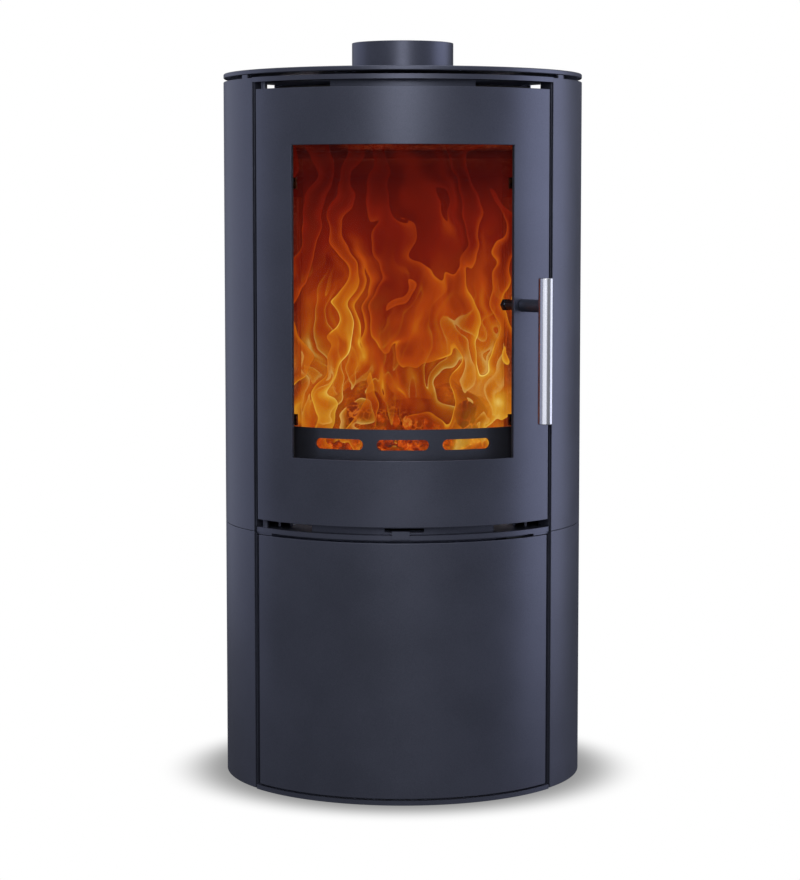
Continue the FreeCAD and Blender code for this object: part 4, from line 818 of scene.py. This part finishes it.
class STOVE_OT_glazing(bpy.types.Operator):
    """Adds the bent ceramic glass"""
    bl_idname = "stove.glazing"
    bl_label = "Glass"

    def execute(self, context):
        sizes = context.scene.stove_sizes
        box_low, box_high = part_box("glass")
        outer = -box_low.y
        half = half_angle("glass", outer)
        shape = curved_plate(outer - sizes.glass_sheet, outer, (-half, half), (box_low.z, box_high.z), (), 1)
        piece = round_edges(new_piece("window_glass", *shape, "glass"), sizes.glass_edge, 2)
        finish(piece, "door", "ceramic_glass", "glass")
        return {"FINISHED"}


class STOVE_OT_seal(bpy.types.Operator):
    """Adds the braided rope seal round the inside of the door"""
    bl_idname = "stove.seal"
    bl_label = "Rope seal"

    def execute(self, context):
        sizes = context.scene.stove_sizes
        box_low, box_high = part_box("door_rope")
        outer, bend = -box_low.y, sizes.rope_bend
        radius, inset = outer - sizes.rope, sizes.rope + sizes.rope_gap
        half = half_angle("door_rope", outer) - math.degrees(inset / outer)
        wide = math.radians(half) * radius
        left, right, foot, top = bend - wide, wide - bend, box_low.z + inset + bend, box_high.z - inset - bend
        # The seal's middle line, unrolled: across the door's face and up it.
        line, steps = [], 12
        for x, z, start in ((right, top, 0), (left, top, 90), (left, foot, 180), (right, foot, 270)):
            for index in range(steps + 1):
                turn = math.radians(start + 90 * index / steps)
                line.append((x + bend * math.cos(turn), z + bend * math.sin(turn)))
        dense = []  # the same line with a point every 6 mm
        for (x0, z0), (x1, z1) in zip(line, line[1:] + line[:1]):
            count = max(1, round(math.hypot(x1 - x0, z1 - z0) / (6 * MM)))
            dense += [(x0 + (x1 - x0) * i / count, z0 + (z1 - z0) * i / count) for i in range(count)]
        path = [around(radius, math.degrees(x / radius), z) for x, z in dense]
        rope = new_piece("rope_seal", path, (), None, [(i, (i + 1) % len(path)) for i in range(len(path))])
        run_tree(rope, braid_tree(), "rope", Radius=sizes.rope, Strand_Radius=sizes.strand,
                 Strands=sizes.strands, Turns=float(sizes.rope_turns), Spacing=sizes.strand_step)
        rope.data.shade_smooth()
        finish(rope, "door", "seal_cord", "door_rope")
        return {"FINISHED"}


class STOVE_OT_handle(bpy.types.Operator):
    """Adds the brushed bar of the door handle"""
    bl_idname = "stove.handle"
    bl_label = "Handle bar"

    def execute(self, context):
        box_low, box_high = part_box("handle_bar")
        centre = (box_low + box_high) / 2
        radius = (box_high.x - box_low.x) / 2
        shape = turned([(0, box_low.z), (radius, box_low.z), (radius, box_high.z), (0, box_high.z)],
                       7.5, centre)
        bar = new_piece("handle_bar_turned", *shape, "steel")
        round_edges(bar, context.scene.stove_sizes.bar_edge, 4)
        finish(bar, "handle", "brushed_stainless", "handle_bar")
        return {"FINISHED"}


# Fasteners ----------------------------------------------------------

def screw_piece(name, radius, height, outward):
    """One domed screw head round a six-sided recess, its seat at the origin."""
    rounding, recess, depth = 0.6 * height, 0.42 * radius, 0.55 * height
    dome = [(radius - rounding * (1 - math.cos(math.radians(a))),
             height - rounding * (1 - math.sin(math.radians(a)))) for a in (0, 30, 60, 90)]
    points, faces = turned([(0, -0.5 * MM), (radius, -0.5 * MM), *dome, (recess, height),
                            (recess * 0.9, height - depth), (0, height - depth)], 15)
    for point in points:
        if point.xy.length < 0.5 * radius and point.z > 0:
            turn = math.degrees(math.atan2(point.y, point.x)) % 60 - 30
            point.xy *= math.cos(math.radians(30)) / math.cos(math.radians(turn))
    tip = Matrix.Rotation(math.radians(90 if outward else -90), 4, "X")
    piece = new_piece(name, [tip @ point for point in points], faces, "zinc")
    piece.data.set_sharp_from_angle(angle=math.radians(35))
    return piece


def bolt_piece(name, across, height):
    """One hexagon bolt head over a washer, its seat at the origin."""
    sheet = 1 * MM
    washer = turned([(0, 0), (across * 1.35, 0), (across * 1.35, sheet), (0, sheet)], 15)
    head = turned([(0, sheet), (across, sheet), (across, height - 0.8 * MM), (across * 0.86, height),
                   (0, height)], 60)
    piece = new_piece(name, *join(washer, head), "zinc")
    piece.data.set_sharp_from_angle(angle=math.radians(35))
    return piece


class STOVE_OT_fasteners(bpy.types.Operator):
    """Adds the panel screws, the glass clip screws and the collar's bolts"""
    bl_idname = "stove.fasteners"
    bl_label = "Screws and bolts"

    def execute(self, context):
        sizes = context.scene.stove_sizes
        tree = ring_tree()
        first = math.radians(sizes.screw_angle)
        for node, panel, rows, lip in (("panel_screws", "rear_panel", 4, sizes.rear_lip),
                                       ("base_panel_screws", "base_rear_panel", 3, 0)):
            foot, top = low(panel).z + sizes.screw_margin, high(panel).z - lip - sizes.screw_margin
            screws = screw_piece(node + "_heads", sizes.screw, sizes.screw_height, True)
            run_tree(screws, tree, "zinc", Columns=2, First_Angle=first, Angle_Step=2 * (math.pi - first),
                     Radius=BODY_RADIUS, Rows=rows, First_Level=foot, Level_Step=(top - foot) / (rows - 1))
            finish(screws, "stove_body", "zinc_steel", node)
        clip = math.radians(sizes.clip_angle)
        foot, top = low("glass").z + sizes.clip_margin, high("glass").z - sizes.clip_margin
        clips = screw_piece("clip_screw_heads", sizes.clip_screw, sizes.clip_screw_height, False)
        run_tree(clips, tree, "zinc", Columns=2, First_Angle=-clip, Angle_Step=2 * clip,
                 Radius=BODY_RADIUS - sizes.clip_depth, Rows=2, First_Level=foot, Level_Step=top - foot)
        finish(clips, "door", "zinc_steel", "clip_screws")
        bolts = bolt_piece("collar_bolts", sizes.bolt, sizes.bolt_height)
        run_tree(bolts, tree, "zinc", Columns=4, First_Angle=math.pi / 4, Angle_Step=math.pi / 2,
                 Radius=sizes.bolt_circle, Rows=1, First_Level=low("flue_spigot").z + sizes.collar_flange,
                 Level_Step=0.0)
        finish(bolts, "stove_body", "zinc_steel", "spigot_bolts")
        return {"FINISHED"}


# Fire ---------------------------------------------------------------

# Logs: both ends from the middle of the grate's top, radius, and the seed of its shape.
LOGS = (((-0.112, -0.02, 0.048), (0.104, -0.062, 0.056), 0.030, 0.4),
        ((-0.098, 0.062, 0.052), (0.112, 0.03, 0.050), 0.034, 2.1),
        ((-0.082, -0.075, 0.064), (0.052, 0.078, 0.118), 0.026, 3.9),
        ((0.092, -0.082, 0.060), (-0.006, 0.082, 0.122), 0.024, 5.2))
# Curtains of flame: half width, y, height, how far its middle is cleared, seed, fold width, density.
CURTAINS = (("front", 0.146, -0.138, 0.425, 0.9, 0.31, 30, 0.24),
            ("low", 0.131, -0.088, 0.26, 0.7, 7.9, 22, 0.20),
            ("middle", 0.130, -0.035, 0.40, 0.4, 2.7, 40, 0.34),
            ("rear", 0.130, 0.065, 0.36, 0.0, 5.3, 52, 0.55))


def grid_faces(columns, rows):
    """Faces of a grid of points that runs up each column in turn."""
    corners = [i * (rows + 1) + j for i in range(columns) for j in range(rows)]
    return [(a, a + rows + 1, a + rows + 2, a + 1) for a in corners]


def log_shape(start, end, radius, seed):
    """Points and faces of a split, charred log with furrowed sides and rough ends."""
    axis = (end - start).normalized()
    side = axis.cross(Vector((0, 0, 1))).normalized()
    up = side.cross(axis)
    rings, corners = 40, 40
    points, faces = [], []
    for i in range(rings + 1):
        share = i / rings
        close = min(share, 1 - share) * rings
        taper = 1 - 0.25 * max(0, 1 - close / 2) ** 2
        for j in range(corners):
            turn = 2 * math.pi * j / corners
            wedge = 1 - 0.18 * max(0, math.cos(turn - seed)) ** 3
            spot = Vector((math.cos(turn) * 2.2, math.sin(turn) * 2.2, share * 6 + seed * 7))
            furrow = noise.noise(spot * Vector((2.4, 2.4, 0.6)))
            reach = radius * taper * wedge * (1 + 0.09 * furrow + 0.11 * noise.noise(spot * 1.6))
            points.append(start.lerp(end, share) + side * (reach * math.cos(turn))
                          + up * (reach * math.sin(turn)))
            if i < rings:
                a, b = i * corners + j, i * corners + (j + 1) % corners
                faces.append((a, b, b + corners, a + corners))
    for ring, centre in ((0, start - axis * 2 * MM), (rings, end + axis * 2 * MM)):
        points.append(centre)
        for j in range(corners):
            edge = (ring * corners + j, ring * corners + (j + 1) % corners)
            faces.append((*(edge if ring else edge[::-1]), len(points) - 1))
    return points, faces


def bed_shape(corner_low, corner_high, thickness, mound):
    """Points and faces of a closed, uneven bed of ash."""
    across, deep = 44, 40
    top, bottom = [], []
    for j in range(deep + 1):
        for i in range(across + 1):
            u, v = i / across, j / deep
            x = corner_low[0] + (corner_high[0] - corner_low[0]) * u
            y = corner_low[1] + (corner_high[1] - corner_low[1]) * v
            edge = (1 - (2 * u - 1) ** 6) * (1 - (2 * v - 1) ** 6)
            rough = noise.noise(Vector((x, y, 0.3)) * pitch(24)) * 0.5 + 0.5
            heap = math.exp(-((2 * u - 1) ** 2 + (2 * v - 1) ** 2) * 1.6)
            z = corner_low[2] + 1 * MM + edge * (thickness * (0.4 + 0.6 * rough) + mound * heap)
            top.append(Vector((x, y, z)))
            bottom.append(Vector((x, y, corner_low[2])))
    count, row = len(top), across + 1
    faces = []
    for j in range(deep):
        for i in range(across):
            a = j * row + i
            faces.append((a, a + 1, a + 1 + row, a + row))
            faces.append((count + a + row, count + a + 1 + row, count + a + 1, count + a))
    outline = [*range(across), *range(across, across + row * deep, row),
               *range(row * deep + across, row * deep, -1), *range(row * deep, 0, -row)]
    for a, b in zip(outline, outline[1:] + outline[:1]):
        faces.append((b, a, count + a, count + b))
    return top + bottom, faces


def curtain_piece(name, half_width, depth, foot, peak, hollow, seed):
    """A pleated sheet of flame with its map; its fade clears the top edge, and the middle of its
    foot as far as hollow says."""
    across, tall = 110, 56
    points, place, fade = [], [], []
    for i in range(across + 1):
        u = i / across
        for j in range(tall + 1):
            v = j / tall
            pleat = 9 * MM * noise.noise(Vector((u * 7, v * 3.2, seed * 3)))
            x = half_width * (2 * u - 1)
            points.append(Vector((x, depth + pleat, foot + peak * v)))
            place.append((x + seed, peak * v))
            middle = math.exp(-((2 * u - 1) / 0.45) ** 2) * hollow
            opened = min(1, peak * v / (75 * MM))
            fade.append(min(1, (1 - v) / 0.12) * (1 - middle * (1 - opened ** 2)))
    piece = new_piece(name, points, grid_faces(across, tall), name)
    mesh = piece.data
    layer = mesh.uv_layers.new(name="flame")
    for loop in mesh.loops:
        layer.data[loop.index].uv = place[loop.vertex_index]
    mesh.attributes.new("fade", "FLOAT", "POINT").data.foreach_set("value", fade)
    skin = piece.modifiers.new("skin", "SOLIDIFY")
    skin.thickness = 0.6 * MM
    skin.offset = 0
    return settle(piece)


def coarse_lump(radius):
    """Points and faces of one small angular coal."""
    rings, corners = 5, 8
    points, faces = [Vector((0, 0, -radius))], []
    for i in range(1, rings):
        tilt = math.pi * i / rings
        for j in range(corners):
            turn = 2 * math.pi * j / corners
            spot = Vector((math.sin(tilt) * math.cos(turn), math.sin(tilt) * math.sin(turn), -math.cos(tilt)))
            points.append(spot * radius * (1 + 0.6 * noise.noise(spot * 2.1)))
    points.append(Vector((0, 0, radius)))
    last = len(points) - 1
    for j in range(corners):
        after = (j + 1) % corners
        faces.append((0, 1 + after, 1 + j))
        faces.append((last, last - corners + j, last - corners + after))
        for i in range(rings - 2):
            a, b = 1 + i * corners + j, 1 + i * corners + after
            faces.append((a, b, b + corners, a + corners))
    return points, faces


class STOVE_OT_fire(bpy.types.Operator):
    """Adds the fire: an ash bed, coals, charred logs and curtains of flame"""
    bl_idname = "stove.fire"
    bl_label = "Fire"

    def execute(self, context):
        sizes = context.scene.stove_sizes
        left, right = high("brick_left").x, low("brick_right").x
        front, rear = low("brick_left").y, low("brick_rear").y
        floor, gap = high("grate").z, 3 * MM
        # The bed of ash meets the bricks; the coals lie further in and heap up over its middle.
        bed = bed_shape((left + gap, front + gap, floor), (right - gap, rear - gap), 14 * MM, 22 * MM)
        finish(new_piece("ash_bed", *bed, "coal"), "stove_body", "vermiculite")
        coals = new_piece("coals", *coarse_lump(sizes.coal), "coal")
        run_tree(coals, scatter_tree(), "coal", Count=sizes.coals, Mound=46 * MM, Seed=4,
                 Low=(left + 16 * MM, front + 12 * MM, floor + 12 * MM),
                 High=(right - 16 * MM, rear - 20 * MM, floor + 24 * MM))
        coals.data.shade_flat()
        finish(coals, "stove_body", "vermiculite")
        lift = Vector((0, 0, floor))
        for number, (start, end, radius, seed) in enumerate(LOGS, start=1):
            shape = log_shape(lift + Vector(start), lift + Vector(end), radius, seed)
            finish(new_piece(f"fire_log_{number}", *shape, "log"), "stove_body", "vermiculite")
        for place, half_width, depth, peak, hollow, seed, fold, density in CURTAINS:
            name = "flames_" + place
            FINISHES[name] = flame("wood_flame_" + place, seed, fold, density)
            curtain = curtain_piece(name, half_width, depth, floor + 4 * MM, peak, hollow, seed)
            finish(curtain, "stove_body", "vermiculite").visible_glossy = False
        return {"FINISHED"}


# Stage --------------------------------------------------------------

# Soft lights: place, what it is aimed at, width, height, watts, colour.
SOFTBOXES = (("front_softbox", (0, -3.9, 2.0), (0, 0, 0.75), 1.3, 1.6, 36, "#ffffff"),
             ("right_softbox", (2.25, 0.32, 0.92), (0, 0, 0.92), 1.9, 2.2, 20, "#e4e8ff"),
             ("left_softbox", (-2.0, 1.3, 0.92), (0, 0, 0.92), 2.6, 2.2, 10, "#dde3ff"),
             ("overhead", (0, -0.4, 3.4), (0, 0, 0), 3.0, 3.0, 25, "#ffffff"),
             ("handle_strip", (-0.71, -3.7, 0.33), (0.177, -0.213, 0.5), 4.6, 1.4, 22, "#f2f4ff"),
             ("handle_edge", (-1.30, 0.05, 0.42), (0.177, -0.213, 0.5), 3.0, 1.4, 3.6, "#c5ccff"))


def floor_material():
    """Even white studio floor with a painted contact shadow: it darkens softly towards the foot of the
    object.
    """
    material, node, place = new_material("studio_floor_white")
    away = node("VectorMath", place, operation="LENGTH").outputs["Value"]
    # Painted contact shadow: the glow that the camera sees dims from full strength to 0.3 towards the
    # object's foot.
    painted_contact_shadow = node("MapRange", away, 0.215, 0.335, 0.3, 1, interpolation_type="SMOOTHERSTEP")
    seen = node("LightPath").outputs["Is Camera Ray"]
    strength = node("Mix", seen, None, 0.12, painted_contact_shadow)
    node("OutputMaterial", node("Emission", Color=(1, 1, 1, 1), Strength=strength))
    return material


def add_light(name, kind, place, power, tone, **settings):
    """A light that the camera doesn't see."""
    lamp = bpy.data.lights.new(name, kind)
    lamp.energy = power
    lamp.color = linear(tone)
    for setting, value in settings.items():
        setattr(lamp, setting, value)
    light = bpy.data.objects.new(name, lamp)
    light.location = place
    light.visible_camera = False
    bpy.context.scene.collection.objects.link(light)
    return light


def add_softbox(name, place, target, width, height, power, tone):
    """A rectangular soft light aimed at a point; one for the handle lights nothing else."""
    light = add_light(name, "AREA", place, power, tone, shape="RECTANGLE", size=width, size_y=height)
    light.rotation_euler = (Vector(target) - Vector(place)).to_track_quat("-Z", "Y").to_euler()
    if name.startswith("handle"):
        lit = bpy.data.collections.new(name + "_lights")
        lit.objects.link(bpy.data.objects["handle_bar_turned"])
        light.light_linking.receiver_collection = lit
        light.light_linking.blocker_collection = lit


def add_glow(name, place, radius, power, tone="#dfe3f0"):
    """A small light inside the stove that no reflection shows."""
    light = add_light(name, "POINT", place, power, tone, shadow_soft_size=radius)
    light.visible_transmission = False
    light.visible_glossy = False


class STOVE_OT_stage(bpy.types.Operator):
    """Adds the floor, the studio lights, the fire's glow and the camera"""
    bl_idname = "stove.stage"
    bl_label = "Stage"

    def execute(self, context):
        stage = context.scene.stove_stage
        half = stage.floor
        FINISHES["floor"] = floor_material()
        corners = [(-half, -half, 0), (half, -half, 0), (half, half, 0), (-half, half, 0)]
        floor = new_piece("floor", corners, [(0, 1, 2, 3)], "floor")
        floor.visible_glossy = False
        floor.visible_shadow = False
        for softbox in SOFTBOXES:
            add_softbox(*softbox)
        add_glow("embers_glow", (0, -0.05, HEARTH + 0.13), 0.05, 0.6, "#ff6a1e")
        add_glow("flames_glow", (0, -0.06, HEARTH + 0.26), 0.05, 0.2, "#ff3c0a")
        # Faint light in the hollows behind the gaps, so that their steel isn't lost in black.
        top, seam = high("front_frame").z + 3 * MM, high("body_floor").z + 10 * MM
        for side in (-1, 1):
            add_glow(f"top_gap_fill_{side + 1}", (side * 0.13, -0.02, top), 0.006, 0.75)
            add_glow(f"seam_fill_{side + 1}", (side * 0.13, -0.03, seam), 0.006, 0.45)
        add_glow("base_fill", (0, -0.05, 0.2), 0.05, 0.6)
        self.set_world(context.scene)
        self.add_camera(context.scene, stage)
        return {"FINISHED"}

    def set_world(self, scene):
        """An even white surround that reflects in the paint as a dim grey, darker behind and below."""
        world = bpy.data.worlds.new("studio")
        scene.world = world
        world.use_nodes = True
        world.node_tree.nodes.clear()
        node = partial(add, world.node_tree)
        way = node("SeparateXYZ", node("TexCoord").outputs["Generated"]).outputs
        upper = node("MapRange", way["Z"], -0.3, 0.15, 0.13, 0.54)
        behind = node("MapRange", way["Y"], 0.2, 0.9, 1, 0.35)
        glow = node("Math", upper, behind, operation="MULTIPLY")
        dim = node("Background", (*linear("#dcdfe8"), 1), glow)
        white = node("Background", (1, 1, 1, 1), 1)
        node("OutputWorld", node("MixShader", node("LightPath").outputs["Is Camera Ray"], dim, white))
        scene.view_settings.view_transform = "Standard"

    def add_camera(self, scene, stage):
        """The camera, level across and tipped down a little."""
        lens = bpy.data.cameras.new("camera")
        lens.lens = stage.lens
        camera = bpy.data.objects.new("camera", lens)
        camera.location = (stage.camera_side, -stage.camera_distance, stage.camera_height)
        camera.rotation_euler = (math.pi / 2 - stage.camera_pitch, 0, 0)
        scene.collection.objects.link(camera)
        scene.camera = camera


# Add-on -------------------------------------------------------------

OPERATORS = (STOVE_OT_finishes, STOVE_OT_panels, STOVE_OT_rear, STOVE_OT_top, STOVE_OT_doors,
             STOVE_OT_glazing, STOVE_OT_seal, STOVE_OT_handle, STOVE_OT_fasteners, STOVE_OT_fire,
             STOVE_OT_stage)


class STOVE_PT_panel(bpy.types.Panel):
    """Buttons that build the stove piece by piece"""
    bl_idname = "STOVE_PT_panel"
    bl_label = "Wood burning stove"
    bl_space_type = "VIEW_3D"
    bl_region_type = "UI"
    bl_category = "Stove"

    def draw(self, context):
        for operator in OPERATORS:
            self.layout.operator(operator.bl_idname)


GROUPS = (("stove_sizes", StoveSizes), ("stove_colours", StoveColours), ("stove_stage", StoveStage))


def register():
    for name, group in GROUPS:
        bpy.utils.register_class(group)
        setattr(bpy.types.Scene, name, bpy.props.PointerProperty(type=group))
    for part in (*OPERATORS, STOVE_PT_panel):
        bpy.utils.register_class(part)


def unregister():
    for part in reversed((*OPERATORS, STOVE_PT_panel)):
        bpy.utils.unregister_class(part)
    for name, group in reversed(GROUPS):
        delattr(bpy.types.Scene, name)
        bpy.utils.unregister_class(group)


def main():
    register()
    for operator in OPERATORS:
        group, name = operator.bl_idname.split(".")
        getattr(getattr(bpy.ops, group), name)()


if __name__ == "__main__":
    main()
